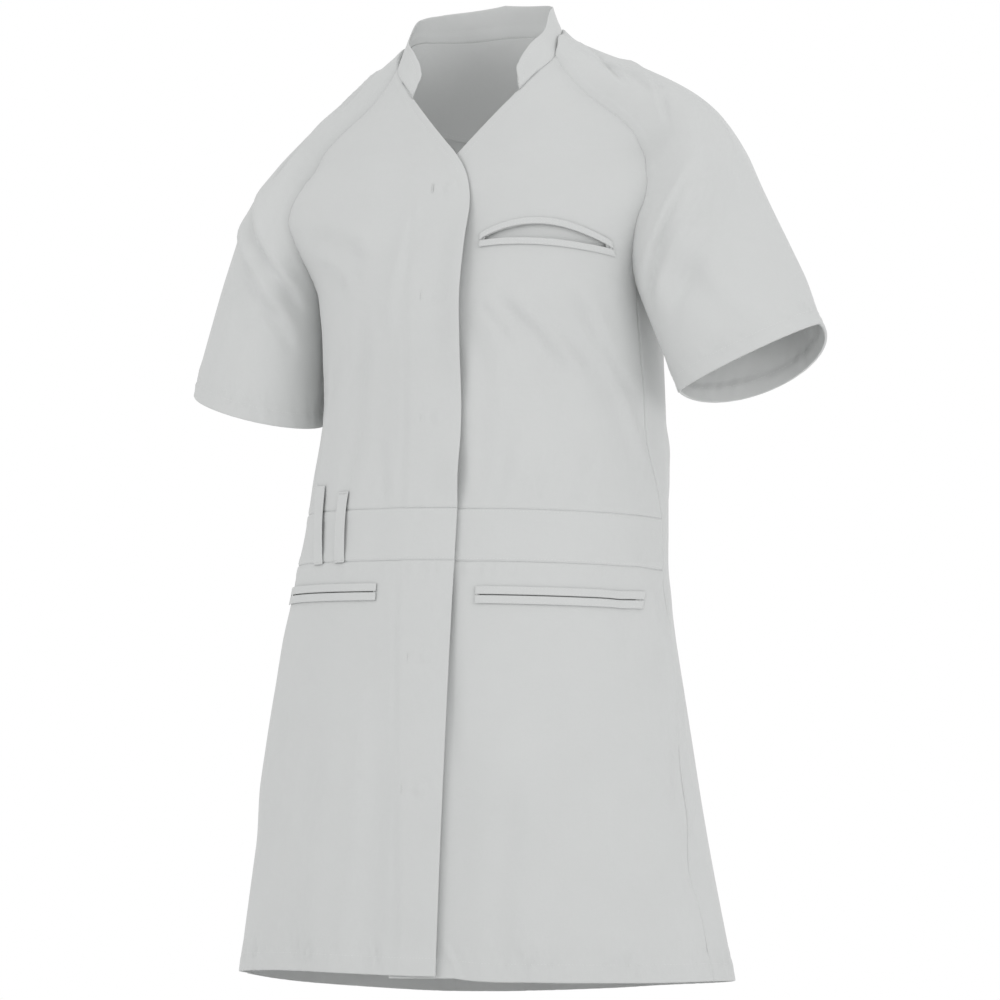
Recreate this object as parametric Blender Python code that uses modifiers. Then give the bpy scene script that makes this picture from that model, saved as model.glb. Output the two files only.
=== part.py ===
"""A medical tunic as it is worn, with nobody in it: short raglan sleeves, stand collar, V neck,
concealed press-stud front, inset waistband, one chest pocket and two hip pockets.

Blender's unit is the metre. The sizes and tables below are in millimetres and degrees, and MM turns
them into metres where a mesh is made. The origin is at the base of the neck, on the mid-plane.
The front faces -Y, +X is the wearer's left, and angles round the body start at the centre front.
"""

import math

import bmesh
import bpy
import numpy as np

MM = 0.001
COLLECTION = "medical_tunic"

WALL = 1.2  # thickness of the cloth
SEAM_GAP = 0.3  # between two pieces at a seam
LIE_GAP = 0.85  # between a piece and the panel that it lies on
BAG_GAP = 2.2  # between a pocket bag, or the neck facing, and the panel that it hangs behind
CREASE_ROOM = 0.4  # more room along the raglan seams, where the pieces meet at an angle
ARMPIT_ROOM = 1.0  # and still more towards the armpit

OVERLAP = 21.5  # the over front's edge past the centre front
UNDERLAP = 24.0  # the under front's edge past the centre front, on the other side
PLACKET_STEP = 2.1  # each front lies this far out or in from the form where the two overlap
PLACKET_EASE = 38.0  # over which a front comes back to the form
GAPE_REACH = 26.0  # how far from its edge the over front lifts

V_POINT = -81.5  # height at which the two necklines cross at the centre front
V_SLOPE = 1.106  # fall of the V edge for each millimetre towards the centre
V_ROUND = 68.5  # height over which the over front's V edge rounds into its placket edge
V_ROUND_POWER = 2.6
NECK_END = 48.0  # angle of the collar's front end
WAIST_TOP = -404.5
WAIST_BOTTOM = -451.0
HEM = -813.0  # at the centre front; HEM_LINE has the rest
TILT = -0.035  # the wearer's left side hangs a little lower: rise for each millimetre of x

BODICE_ROWS = 8  # between the waist and the armpit
RAGLAN_ROWS = 12
V_ROWS = 8  # rows of the bodice that end on the V edge
FRONT_COLUMNS = 10
SKIRT_ROWS = 13
BACK_COLUMNS = 20
WAISTBAND_ROWS = 2
SLEEVE_COLUMNS = 18
TUBE_ROWS = 6  # of a sleeve between its cuff and the armpit

CLOTH = (0.62, 0.64, 0.63)
STUD_METAL = (0.75, 0.76, 0.76)


class Table:
    """Rows of named columns, read between its rows along a smooth curve of the first column."""

    def __init__(self, names, *rows):
        self.names = names.split()
        self.rows = np.array(sorted(rows), float)

    def at(self, name, key):
        keys = self.rows[:, 0]
        values = self.rows[:, self.names.index(name)]
        slopes = np.gradient(values, keys)
        key = np.clip(np.asarray(key, float), keys[0], keys[-1])
        i = np.clip(np.searchsorted(keys, key) - 1, 0, len(keys) - 2)
        span = keys[i + 1] - keys[i]
        u = (key - keys[i]) / span
        return (
            values[i] * (1 + 2 * u) * (1 - u) ** 2
            + values[i + 1] * u**2 * (3 - 2 * u)
            + span * u * (1 - u) * (slopes[i] * (1 - u) - slopes[i + 1] * u)
        )


# Level sections of the worn tunic without its arms. front and back are how far the section reaches
# ahead of and behind the origin, middle is where it is widest, and square is the power of its curve.
FORM = Table(
    "height half front back middle square",
    (60, 66, 50, 58, 0, 2.0),
    (44, 71, 48, 63, 0, 2.0),
    (10, 82, 44, 82, 4, 2.0),
    (-14, 104, 42, 97, 8, 2.0),
    (-29, 120, 45, 105, 10, 2.0),
    (-48, 145, 51, 113, 12, 2.0),
    (-64, 162, 55, 118, 13, 2.0),
    (-82, 172, 59.5, 123, 14, 2.1),
    (-95, 180, 63, 127, 14, 2.4),
    (-118, 189, 71, 133, 15, 2.9),
    (-132, 189, 75, 136, 15, 3.1),
    (-150, 180, 80, 140, 15, 3.1),
    (-167, 170, 84.5, 143, 15, 2.9),
    (-182, 162, 88, 145, 15, 2.7),
    (-198, 157, 92, 147, 16, 2.5),
    (-214, 155.5, 95, 149, 17, 2.4),
    (-255, 156, 95.5, 153, 23, 2.2),
    (-292, 157.5, 95, 153.5, 27, 2.1),
    (-337, 162, 96, 145, 20, 2.1),
    (-382, 166.5, 101, 130, 15, 2.1),
    (-418, 169.5, 106, 121, 8, 2.1),
    (-454, 173.5, 110.5, 115, -4, 2.1),
    (-490, 178.5, 115.5, 113, -8, 2.1),
    (-562, 189, 124.5, 121, -10, 2.1),
    (-688, 207, 138.5, 134, -10, 2.1),
    (-830, 230, 151.5, 160, -2, 2.1),
)

# Height of the neck seam by angle.
NECK = Table(
    "angle height",
    (48, -24),
    (62, -7),
    (77, 9),
    (90, 28),
    (104, 36),
    (118, 38.5),
    (140, 40.5),
    (180, 44),
)

# Height of the hem by angle, all the way round.
HEM_LINE = Table(
    "angle height",
    (0, -813),
    (11, -813.6),
    (20, -816.5),
    (40, -818),
    (64, -818.5),
    (88, -817.5),
    (106, -818),
    (120, -820),
    (140, -823),
    (160, -826),
    (180, -828.3),
    (200, -829.5),
    (216, -829),
    (230, -826.5),
    (246, -822),
    (260, -817),
    (272, -812.5),
    (284, -810),
    (300, -808.5),
    (316, -808.5),
    (332, -810.3),
    (346, -811.8),
    (360, -813),
)

# Angles of the raglan seams by height. Each ends at the armpit, on the side seam.
RAGLAN_FRONT = Table(
    "height angle",
    (9, 77),
    (-14, 77),
    (-30, 77.7),
    (-48, 79.5),
    (-65, 80.5),
    (-84, 79.8),
    (-107, 75.5),
    (-130, 72.3),
    (-150, 71),
    (-170, 72.8),
    (-190, 77),
    (-203, 80),
)
RAGLAN_BACK = Table(
    "height angle",
    (38.5, 118),
    (10, 114),
    (-25, 112),
    (-60, 111),
    (-100, 111),
    (-130, 112),
    (-155, 109),
    (-180, 97),
    (-203, 80),
)

# Angle of the side seam by height.
SIDE = Table(
    "height angle",
    (-203, 80),
    (-300, 81),
    (-350, 83),
    (-394, 88),
    (-430, 91),
    (-490, 90),
    (-580, 88),
    (-830, 88),
)

# The main soft folds of the body: a ridge (depth over 0) or trough that runs down the form between two
# angles and heights, width being how far from its middle it dies away.
FOLDS = Table(
    "top angle_top bottom angle_bottom width depth",
    (-214, 26, -330, 50, 14, -2.4),
    (-240, 40, -350, 66, 15, 2.0),
    (-225, -30, -395, -38, 20, 2.2),
    (-215, -48, -400, -55, 16, -2.0),
    (-335, -22, -403, -20, 12, -1.6),
    (-250, 58, -404, 84, 12, -2.2),
    (-455, 92, -700, 74, 20, 4.0),
    (-470, 100, -829, 86, 22, -4.5),
    (-560, 64, -829, 60, 26, -2.6),
    (-590, 40, -829, 36, 30, 3.0),
    (-600, 20, -829, 17, 24, -2.4),
    (-470, -60, -829, -54, 26, 3.0),
    (-520, -40, -829, -36, 24, -2.6),
    (-480, -80, -829, -72, 22, -3.0),
    (-450, 118, -829, 112, 30, 6.0),
    (-430, 140, -829, 138, 30, -6.5),
    (-400, 162, -829, 160, 32, 7.0),
    (-380, 180, -829, 181, 28, -5.0),
    (-410, 201, -829, 204, 32, 6.5),
    (-440, 222, -829, 226, 30, -6.0),
    (-460, 243, -829, 250, 28, 5.0),
    (-230, 130, -400, 150, 24, 3.5),
    (-240, 225, -400, 208, 24, 3.0),
    (-200, 165, -330, 172, 22, -2.5),
)
FOLD_FADE = 60.0  # over which a fold grows from its top and dies at its foot, unless it meets the hem

# The main soft folds of the sleeves, from one place to another. rise runs from the cuff (0) to the neck
# (1), round runs from the front edge (0) over the shoulder line (0.5) to the back edge (1).
SLEEVE_FOLDS = {
    "left": Table(
        "rise_from round_from rise_to round_to width depth",
        (0.10, 0.52, 0.62, 0.42, 0.05, 3.0),
        (0.20, 0.40, 0.60, 0.33, 0.045, -2.6),
        (0.22, 0.22, 0.45, 0.12, 0.05, -3.0),
        (0.25, 0.30, 0.50, 0.20, 0.05, 2.6),
        (0.05, 0.66, 0.55, 0.72, 0.05, 2.8),
        (0.12, 0.80, 0.48, 0.86, 0.05, -3.0),
        (0.80, 0.28, 0.95, 0.30, 0.08, -1.6),
    ),
    "right": Table(
        "rise_from round_from rise_to round_to width depth",
        (0.28, 0.36, 0.48, 0.14, 0.045, -3.4),
        (0.24, 0.28, 0.42, 0.10, 0.045, 3.0),
        (0.04, 0.46, 0.50, 0.50, 0.05, 2.2),
        (0.08, 0.58, 0.52, 0.66, 0.05, -2.6),
        (0.06, 0.74, 0.45, 0.84, 0.05, 2.8),
    ),
}

# The shoulder line of each sleeve, from the armpit's level (along 0) to the neck (along 1).
SHOULDER = {
    "left": Table(
        "along out back height",
        (0.0, 267, 20, -136),
        (0.25, 241, 20, -80),
        (0.5, 211, 20, -39),
        (0.75, 158, 18, -6),
        (0.9, 104, 14, 18),
        (1.0, 73.5, 9.5, 32.5),
    ),
    "right": Table(
        "along out back height",
        (0.0, 259, 20, -167),
        (0.25, 231, 20, -103),
        (0.5, 196, 20, -57),
        (0.75, 149, 18, -17),
        (0.9, 103, 14, 15),
        (1.0, 73.5, 9.5, 32.5),
    ),
}

# The cuff openings, for a sleeve out along +X: centre, half axis to the outer arm, and half axes to the back
# of the front and rear halves.
CUFF = {
    "left": ((256.5, 1, -272), (63, 8.5, 28.5), (-6, 41, 4), (6.5, 58, -19)),
    "right": ((226, 7, -295.5), (61, 0, 19), (0, 56, 12), (0, 56, 12)),
}

# Stretches of the placket's edge that stand open between studs.
GAPES = Table(
    "height lift",
    (-450, 0),
    (-405, 0),
    (-375, 4),
    (-340, 1),
    (-315, 0.5),
    (-270, 4.5),
    (-215, 5.5),
    (-160, 3.5),
    (-135, 0),
    (0, 0),
)

STUD_HEIGHTS = (-114.8, -214.3, -323.0, -431.9, -536.3, -651.5)
STUD_RADIUS = 5.0
STUD_THICKNESS = 1.6

COLLAR_COLUMNS = {"front": 8, "sleeve": 8, "back": 20}
# The collar's height and lean by angle: it rounds down to its front ends.
COLLAR = Table(
    "angle height lean",
    (48, 7, 2),
    (50, 15.5, 8.5),
    (54, 20, 11.5),
    (62, 25, 12),
    (77, 25.5, 10.5),
    (100, 24, 8),
    (135, 28, 9),
    (180, 30, 9.5),
)
COLLAR_ROWS = 3

FACING_LOW = -46.5  # height of the half-moon facing's lower edge at the centre back
FACING_SIDE = 22.0  # and at its two ends
FACING_END = 100.0  # angle of its ends, past the raglan seams
FACING_INSET = 3.0
FACING_ROWS = 5
FACING_COLUMNS = 14

# The chest pocket, on the wearer's left: its two lips part in the middle.
CHEST = {"start": 33.0, "end": 147.0, "start_height": -166.0, "end_height": -175.5}
CHEST_UPPER_LIP = 16.5  # rise of each lip above the straight line between the mouth's ends
CHEST_LOWER_LIP = 4.3
CHEST_WELT = 6.0
CHEST_BAG_DEPTH = 120.0

# The hip pockets: distance of each end from the mid-plane and height of the mouth.
HIP = {
    "left": {"start": 41.5, "end": 170.0, "height": -481.0},
    "right": {"start": 53.5, "end": 172.0, "height": -479.0},
}
HIP_WELT = 7.2
HIP_MOUTH = 0.5  # half of the slit between the welts
HIP_BAG_DEPTH = 150.0
BAG_MARGIN = 8.0  # a pocket bag's reach past each end of its mouth
WELT_COLUMNS = 12

# The two loops on the right waistband: distance from the mid-plane at the top and bottom, and top height.
LOOPS = {
    "inner": {"top_x": 99.0, "bottom_x": 96.5, "top": -384.0},
    "outer": {"top_x": 131.0, "bottom_x": 123.0, "top": -376.0},
}
LOOP_WIDTH = 12.0
LOOP_BOTTOM = -449.0
LOOP_BULGE = 1.6  # how far a loop stands off between its ends
LOOP_ROWS = 6


def smooth(x):
    """0 below 0, 1 above 1, and an even curve between."""
    x = np.clip(x, 0.0, 1.0)
    return x * x * (3 - 2 * x)


def unit(vectors):
    return vectors / np.linalg.norm(vectors, axis=-1, keepdims=True)


def spread(first, last, count):
    return np.linspace(first, last, count + 1)


def fold_relief(angle, height):
    """How far the body's folds move its cloth out."""
    total = np.zeros_like(angle)
    radius = 150.0
    for top, angle_top, bottom, angle_bottom, width, depth in FOLDS.rows:
        share = np.clip((top - height) / (top - bottom), 0, 1)
        middle = angle_top + (angle_bottom - angle_top) * share
        away = np.radians((angle - middle + 180) % 360 - 180) * radius
        foot = 1.0 if bottom < HEM else smooth((height - bottom) / FOLD_FADE)
        total = total + depth * np.exp(-((away / width) ** 2)) * smooth((top - height) / FOLD_FADE) * foot
    return total


def form(angle, height):
    """Points of the form, in millimetres, at angles in degrees and heights."""
    angle, height = np.broadcast_arrays(np.asarray(angle, float), np.asarray(height, float))
    turn = np.radians(angle)
    middle = FORM.at("middle", height)
    ahead = np.cos(turn) > 0
    depth = np.where(ahead, FORM.at("front", height) + middle, FORM.at("back", height) - middle)
    half = FORM.at("half", height)
    power = FORM.at("square", height)
    reach = (np.abs(np.cos(turn) / depth) ** power + np.abs(np.sin(turn) / half) ** power) ** (-1 / power)
    reach = reach + fold_relief(angle, height)
    return np.stack([reach * np.sin(turn), middle - reach * np.cos(turn), height], -1)


def form_normal(angle, height):
    across = form(angle + 0.5, height) - form(angle - 0.5, height)
    upward = form(angle, height + 1.5) - form(angle, height - 1.5)
    return unit(np.cross(across, upward))


def place(angle, height, out=0.0):
    """Points moved out from the form along its normal."""
    angle, height, out = np.broadcast_arrays(*(np.asarray(v, float) for v in (angle, height, out)))
    return form(angle, height) + form_normal(angle, height) * out[..., None]


def front_angle(x, height):
    """The angle at which the front of the form is x from the mid-plane."""
    x, height = np.broadcast_arrays(np.asarray(x, float), np.asarray(height, float))
    depth = FORM.at("front", height) + FORM.at("middle", height)
    power = FORM.at("square", height)
    share = np.clip(np.abs(x) / FORM.at("half", height), 0, 0.999)
    ahead = depth * (1 - share**power) ** (1 / power)
    return np.degrees(np.arctan2(x, ahead))


def slide(angle, height, distance):
    """Angles moved round the form by a distance in millimetres."""
    radius = np.linalg.norm(form(angle, height)[..., :2], axis=-1)
    return angle + np.degrees(distance / radius)


def patch(near, far, bottom, top):
    """Angles and heights over a four-sided piece, from those along its edges."""
    rows = np.linspace(0, 1, len(near))[:, None, None]
    columns = np.linspace(0, 1, len(bottom))[None, :, None]
    across = near[:, None] * (1 - columns) + far[:, None] * columns
    along = bottom[None] * (1 - rows) + top[None] * rows
    corners = (
        bottom[0] * (1 - rows) * (1 - columns)
        + bottom[-1] * (1 - rows) * columns
        + top[0] * rows * (1 - columns)
        + top[-1] * rows * columns
    )
    return across + along - corners


def pairs(angles, heights):
    angles, heights = np.broadcast_arrays(angles, heights)
    return np.stack([angles, heights], -1)


def cloth(name, grid, material, wall=WALL):
    """A node: a sheet through a grid of points in millimetres, with the cloth's thickness."""
    mesh = bpy.data.meshes.new(name)
    sheet = bmesh.new()
    verts = [[sheet.verts.new(point * MM) for point in row] for row in grid]
    for low, high in zip(verts, verts[1:]):
        for a, b, c, d in zip(low, low[1:], high[1:], high):
            sheet.faces.new((a, b, c, d))
    bmesh.ops.remove_doubles(sheet, verts=sheet.verts, dist=0.01 * MM)
    sheet.to_mesh(mesh)
    sheet.free()
    mesh.shade_smooth()
    node = bpy.data.objects.new(name, mesh)
    bpy.data.collections[COLLECTION].objects.link(node)
    mesh.materials.append(material)
    solidify = node.modifiers.new("cloth", "SOLIDIFY")
    solidify.thickness = wall * MM
    solidify.offset = 0.0
    return node


def cut(node, cutter):
    """Cuts a hole through a node, with a cutter that isn't part of the tunic."""
    cutter.hide_render = True
    cutter.display_type = "WIRE"
    boolean = node.modifiers.new(cutter.name, "BOOLEAN")
    boolean.operation = "DIFFERENCE"
    boolean.solver = "EXACT"
    boolean.object = cutter


# The two fronts ------------------------------------------------------------------------------------


def over_edge(height):
    """How far the over front's free edge is from the mid-plane, on its own side when over 0."""
    height = np.asarray(height, float)
    past = 1 - np.clip((V_POINT - height) / V_ROUND, 0, 1)
    return np.where(height > V_POINT, (height - V_POINT) / V_SLOPE, -OVERLAP * (1 - past**V_ROUND_POWER))


def under_edge(height):
    return np.maximum((np.asarray(height, float) - V_POINT) / V_SLOPE, -UNDERLAP)


def over_lift(x, height):
    """How far out from the form the over front lies, x from the mid-plane on its own side."""
    step = PLACKET_STEP * (1 - smooth((x - UNDERLAP) / PLACKET_EASE))
    edge = 1 - smooth((x + OVERLAP) / GAPE_REACH)
    return step + GAPES.at("lift", height) * edge


def under_lift(x, height):
    step = 1 - smooth((x - OVERLAP) / PLACKET_EASE)
    return -PLACKET_STEP * step + 0 * height


FRONTS = {
    "right": {"turn": -1, "edge": over_edge, "lift": over_lift},
    "left": {"turn": 1, "edge": under_edge, "lift": under_lift},
}


def tilted(height, x):
    """A height that drops a little towards the wearer's left."""
    return height + TILT * x


def level_line(side, level):
    """Angles and heights along a seam or hem, from a front's free edge to its side seam."""
    front = FRONTS[side]
    start = front_angle(front["edge"](level), level)
    angles = spread(start, SIDE.at("angle", level), FRONT_COLUMNS)
    if level == HEM:
        return pairs(angles, hem_height(angles * front["turn"]))
    return pairs(angles, tilted(level, form(angles, level)[..., 0] * front["turn"]))


def front_piece(name, side, grid, material):
    """A piece of one front: a grid of angles and heights, turned to its own side and lifted there."""
    front = FRONTS[side]
    angles, heights = grid[..., 0], grid[..., 1]
    x = form(angles, heights)[..., 0]
    points = place(angles, heights, front["lift"](x, heights))
    points[..., 0] *= front["turn"]
    if front["turn"] < 0:
        points = points[:, ::-1]
    return cloth(name, points, material)


def raglan_heights(table):
    """Heights of the rows that end on a raglan seam, from the armpit to the neck."""
    heights = table.rows[:, 0]
    return spread(heights[0], heights[-1], RAGLAN_ROWS)


def crease_room(along):
    """The room that a seam needs at each row above the armpit, on each of its two sides."""
    return SEAM_GAP / 2 + CREASE_ROOM + ARMPIT_ROOM * (1 - smooth(along / 0.7))


def hem_height(angles):
    """Height of the hem at angles that run from the centre front towards the wearer's left."""
    return HEM_LINE.at("height", np.asarray(angles, float) % 360)


def side_heights(side, bottom, top, rows):
    """Heights down the side seam between two of the levels that meet there."""
    return spread(side_height(side, bottom), side_height(side, top), rows)


def side_height(side, level):
    if level == RAGLAN_FRONT.rows[0, 0]:
        return level
    angle = SIDE.at("angle", level)
    if level == HEM:
        return hem_height(angle * FRONTS[side]["turn"])
    return tilted(level, form(angle, level)[0] * FRONTS[side]["turn"])


def bodice_front(side, material):
    front = FRONTS[side]
    total = BODICE_ROWS + RAGLAN_ROWS
    top_of_edge = NECK.at("height", NECK_END)
    v_start = V_POINT - V_SLOPE * UNDERLAP
    bottom = level_line(side, WAIST_TOP + SEAM_GAP / 2)
    edge_heights = np.concatenate(
        [spread(bottom[0, 1], v_start, total - V_ROWS), spread(v_start, top_of_edge, V_ROWS)[1:]]
    )
    near = pairs(front_angle(front["edge"](edge_heights), edge_heights), edge_heights)
    flank = side_heights(side, WAIST_TOP + SEAM_GAP / 2, RAGLAN_FRONT.rows[0, 0], BODICE_ROWS)
    side_angles = slide(SIDE.at("angle", flank), flank, -SEAM_GAP / 2)
    seam_heights = raglan_heights(RAGLAN_FRONT)
    along = spread(0, 1, RAGLAN_ROWS)
    seam_angles = slide(RAGLAN_FRONT.at("angle", seam_heights), seam_heights, -crease_room(along))
    far = np.concatenate([pairs(side_angles, flank)[:-1], pairs(seam_angles, seam_heights)])
    neck_angles = spread(NECK_END, RAGLAN_FRONT.at("angle", seam_heights[-1]), FRONT_COLUMNS)
    top = pairs(neck_angles, NECK.at("height", neck_angles))
    near[-1], far[-1] = top[0], top[-1]
    far[-1, 0] = seam_angles[-1]
    bottom[-1], near[0] = far[0], bottom[0]
    return front_piece(f"bodice_front_{side}", side, patch(near, far, bottom, top), material)


def band(name, side, top_level, bottom_level, rows, material):
    """A piece of a front between two level seams, such as the waistband or the skirt."""
    front = FRONTS[side]
    bottom = level_line(side, bottom_level)
    top = level_line(side, top_level)
    heights = spread(bottom[0, 1], top[0, 1], rows)
    near = pairs(front_angle(front["edge"](heights), heights), heights)
    flank = side_heights(side, bottom_level, top_level, rows)
    far = pairs(slide(SIDE.at("angle", flank), flank, -SEAM_GAP / 2), flank)
    bottom[-1], top[-1] = far[0], far[-1]
    bottom[0], top[0] = near[0], near[-1]
    return front_piece(name, side, patch(near, far, bottom, top), material)


# The back ------------------------------------------------------------------------------------------


def back_edge(side):
    """Angles and heights up one side of the back: its side seam, then its raglan seam."""
    armpit = RAGLAN_BACK.rows[0, 0]
    flank = np.concatenate(
        [
            side_heights(side, HEM, WAIST_BOTTOM, SKIRT_ROWS)[:-1],
            side_heights(side, WAIST_BOTTOM, WAIST_TOP, WAISTBAND_ROWS)[:-1],
            side_heights(side, WAIST_TOP, armpit, BODICE_ROWS)[:-1],
        ]
    )
    side_angles = slide(SIDE.at("angle", flank), flank, SEAM_GAP / 2)
    heights = raglan_heights(RAGLAN_BACK)
    room = crease_room(spread(0, 1, RAGLAN_ROWS))
    seam_angles = slide(RAGLAN_BACK.at("angle", heights), heights, room)
    return np.concatenate([pairs(side_angles, flank), pairs(seam_angles, heights)])


def mirrored(edge):
    return pairs(360 - edge[:, 0], edge[:, 1])


def back(material):
    near, far = back_edge("left"), mirrored(back_edge("right"))
    hem_angles = spread(near[0, 0], far[0, 0], BACK_COLUMNS)
    bottom = pairs(hem_angles, hem_height(hem_angles))
    neck_angles = spread(near[-1, 0], far[-1, 0], BACK_COLUMNS)
    top = pairs(neck_angles, NECK.at("height", 180 - np.abs(180 - neck_angles)))
    top[0], top[-1] = near[-1], far[-1]
    bottom[0], bottom[-1] = near[0], far[0]
    grid = patch(near, far, bottom, top)
    return cloth("back", place(grid[..., 0], grid[..., 1]), material)


# The sleeves ---------------------------------------------------------------------------------------


def arc(start, start_way, end, end_way, count):
    """A smooth curve of count steps between two points that leaves and arrives along given ways."""
    u = np.linspace(0, 1, count + 1)[:, None]
    return (
        start * (1 + 2 * u) * (1 - u) ** 2
        + end * u**2 * (3 - 2 * u)
        + start_way * u * (1 - u) ** 2
        - end_way * u**2 * (1 - u)
    )


def cap_row(side, along, front_point, back_point):
    """A row of the sleeve from the front raglan seam over the shoulder line to the back one."""
    shoulder = SHOULDER[side]
    top = np.array([shoulder.at(name, along) for name in ("out", "back", "height")])
    middle = (front_point + back_point) / 2
    rise = unit(top - middle)
    turned = smooth(along / 0.42)
    forward = unit(np.array([0.25, -1.0, -0.15]))
    leave = unit(forward * (1 - turned) + rise * turned)
    arrive = unit(forward * np.array([-1, 1, -1]) * (1 - turned) - rise * turned)
    fullness = 1.75 - 0.5 * turned
    over = np.array([0.0, 1.0, 0.0])
    half = SLEEVE_COLUMNS // 2
    reach_front = np.linalg.norm(top - front_point) * fullness
    reach_back = np.linalg.norm(back_point - top) * fullness
    first = arc(front_point, leave * reach_front, top, over * reach_front, half)
    second = arc(top, over * reach_back, back_point, arrive * reach_back, half)
    return np.concatenate([first, second[1:]])


def cuff_ring(side):
    """The cuff's edge, from the underarm round the front, the outer arm and the back."""
    centre, outer, front, rear = (np.array(v, float) for v in CUFF[side])
    turn = np.radians(spread(-90, 270, SLEEVE_COLUMNS))[:, None]
    return centre + outer * np.sin(turn) - np.where(np.cos(turn) > 0, front, rear) * np.cos(turn)


def sleeve_relief(side, grid):
    """The sleeve's points moved out or in by its folds; its edges stay where they are."""
    rise = np.linspace(0, 1, grid.shape[0])[:, None]
    round_ = np.linspace(0, 1, grid.shape[1])[None, :]
    normal = unit(np.cross(np.gradient(grid, axis=1), np.gradient(grid, axis=0)))
    total = np.zeros(grid.shape[:2])
    for rise_from, round_from, rise_to, round_to, width, depth in SLEEVE_FOLDS[side].rows:
        share = np.clip((rise - rise_from) / (rise_to - rise_from), 0, 1)
        away = round_ - (round_from + (round_to - round_from) * share)
        ends = smooth((rise - rise_from) / 0.12 + 0.5) * smooth((rise_to - rise) / 0.12 + 0.5)
        total = total + depth * np.exp(-((away / width) ** 2)) * ends
    edges = smooth(round_ / 0.12) * smooth((1 - round_) / 0.12)
    return grid + normal * (total * edges)[..., None]


def sleeve(side, material):
    along = spread(0, 1, RAGLAN_ROWS)
    room = crease_room(along)
    stand = WALL * 1.4 * (1 - smooth(along / 0.5))
    front_heights = raglan_heights(RAGLAN_FRONT)
    back_heights = raglan_heights(RAGLAN_BACK)
    front_angles = slide(RAGLAN_FRONT.at("angle", front_heights), front_heights, room)
    back_angles = slide(RAGLAN_BACK.at("angle", back_heights), back_heights, -room)
    front_angles[0] = back_angles[0] = RAGLAN_FRONT.at("angle", front_heights[0])
    front_seam = place(front_angles, front_heights, stand)
    back_seam = place(back_angles, back_heights, stand)
    cap = [cap_row(side, *row) for row in zip(along, front_seam, back_seam)]
    neck_angles = spread(front_angles[-1], back_angles[-1], SLEEVE_COLUMNS)
    cap[-1] = form(neck_angles, NECK.at("height", neck_angles))
    cuff = cuff_ring(side)
    armpit_ring = cap[0]
    tube = [cuff + (armpit_ring - cuff) * share for share in spread(0, 1, TUBE_ROWS)[:-1]]
    grid = sleeve_relief(side, np.array(tube + cap))
    if side == "right":
        grid[..., 0] *= -1
        grid = grid[:, ::-1]
    return cloth(f"sleeve_{side}", grid, material)


# Collar and facing ---------------------------------------------------------------------------------


def collar(material):
    front_end = RAGLAN_FRONT.at("angle", RAGLAN_FRONT.rows[-1, 0])
    back_end = RAGLAN_BACK.at("angle", RAGLAN_BACK.rows[-1, 0])
    half = np.concatenate(
        [
            spread(NECK_END, front_end, COLLAR_COLUMNS["front"]),
            spread(front_end, back_end, COLLAR_COLUMNS["sleeve"])[1:],
            spread(back_end, 180, COLLAR_COLUMNS["back"] // 2)[1:],
        ]
    )
    angles = np.concatenate([half, 360 - half[-2::-1]])
    own = 180 - np.abs(180 - angles)
    seam = form(angles, NECK.at("height", own))
    inward = -unit(seam * np.array([1, 1, 0]))
    rows = []
    for share in spread(0, 1, COLLAR_ROWS):
        rise = WALL + (COLLAR.at("height", own) - WALL) * share
        lean = COLLAR.at("lean", own) * share
        rows.append(seam + inward * lean[:, None] + np.array([0, 0, 1]) * rise[:, None])
    return cloth("collar", np.array(rows), material)


def neck_facing(material):
    """The half-moon on the inside of the back neck, which runs out past the raglan seams."""
    near = pairs(FACING_END, spread(FACING_SIDE, NECK.at("height", FACING_END) - FACING_INSET, FACING_ROWS))
    neck_angles = spread(near[-1, 0], 360 - near[-1, 0], FACING_COLUMNS)
    top = pairs(neck_angles, NECK.at("height", 180 - np.abs(180 - neck_angles)) - FACING_INSET)
    low_angles = spread(near[0, 0], 360 - near[0, 0], FACING_COLUMNS)
    bow = np.sqrt(np.clip(1 - ((low_angles - 180) / (180 - low_angles[0])) ** 2, 0, 1))
    low = pairs(low_angles, FACING_SIDE + (FACING_LOW - FACING_SIDE) * bow)
    top[0], top[-1] = near[-1], mirrored(near)[-1]
    grid = patch(near, mirrored(near), low, top)
    return cloth("neck_facing", place(grid[..., 0], grid[..., 1], -(WALL + BAG_GAP / 2)), material)


# Pockets, loops and studs --------------------------------------------------------------------------


def on_front(side, x, height, out):
    """Points that lie on a front: x from the mid-plane on its own side."""
    x, height, out = np.broadcast_arrays(*(np.asarray(v, float) for v in (x, height, out)))
    front = FRONTS[side]
    points = place(front_angle(x, height), height, front["lift"](x, height) + out)
    points[..., 0] *= front["turn"]
    return points[:, ::-1] if front["turn"] < 0 and points.ndim == 3 else points


def strip(name, side, x, low, high, rows, out, material, wall=WALL):
    share = np.linspace(0, 1, rows + 1)[:, None]
    heights = low + (high - low) * share
    return cloth(name, on_front(side, x + 0 * heights, heights, out), material, wall)


def mouth_cutter(name, side, x, low, high):
    """A closed block through a front's wall along a pocket's mouth."""
    reach = 3 * WALL
    inner = on_front(side, x, low, -reach), on_front(side, x, high, -reach)
    outer = on_front(side, x, low, reach), on_front(side, x, high, reach)
    block = bmesh.new()
    rings = [
        [block.verts.new(point * MM) for point in points]
        for points in zip(inner[0], inner[1], outer[1], outer[0])
    ]
    for ring, following in zip(rings, rings[1:]):
        for i in range(4):
            j = (i + 1) % 4
            block.faces.new((ring[i], ring[j], following[j], following[i]))
    block.faces.new(rings[0][::-1])
    block.faces.new(rings[-1])
    bmesh.ops.recalc_face_normals(block, faces=block.faces)
    mesh = bpy.data.meshes.new(name)
    block.to_mesh(mesh)
    block.free()
    cutter = bpy.data.objects.new(name, mesh)
    bpy.data.collections[f"{COLLECTION}_cutters"].objects.link(cutter)
    return cutter


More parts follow.
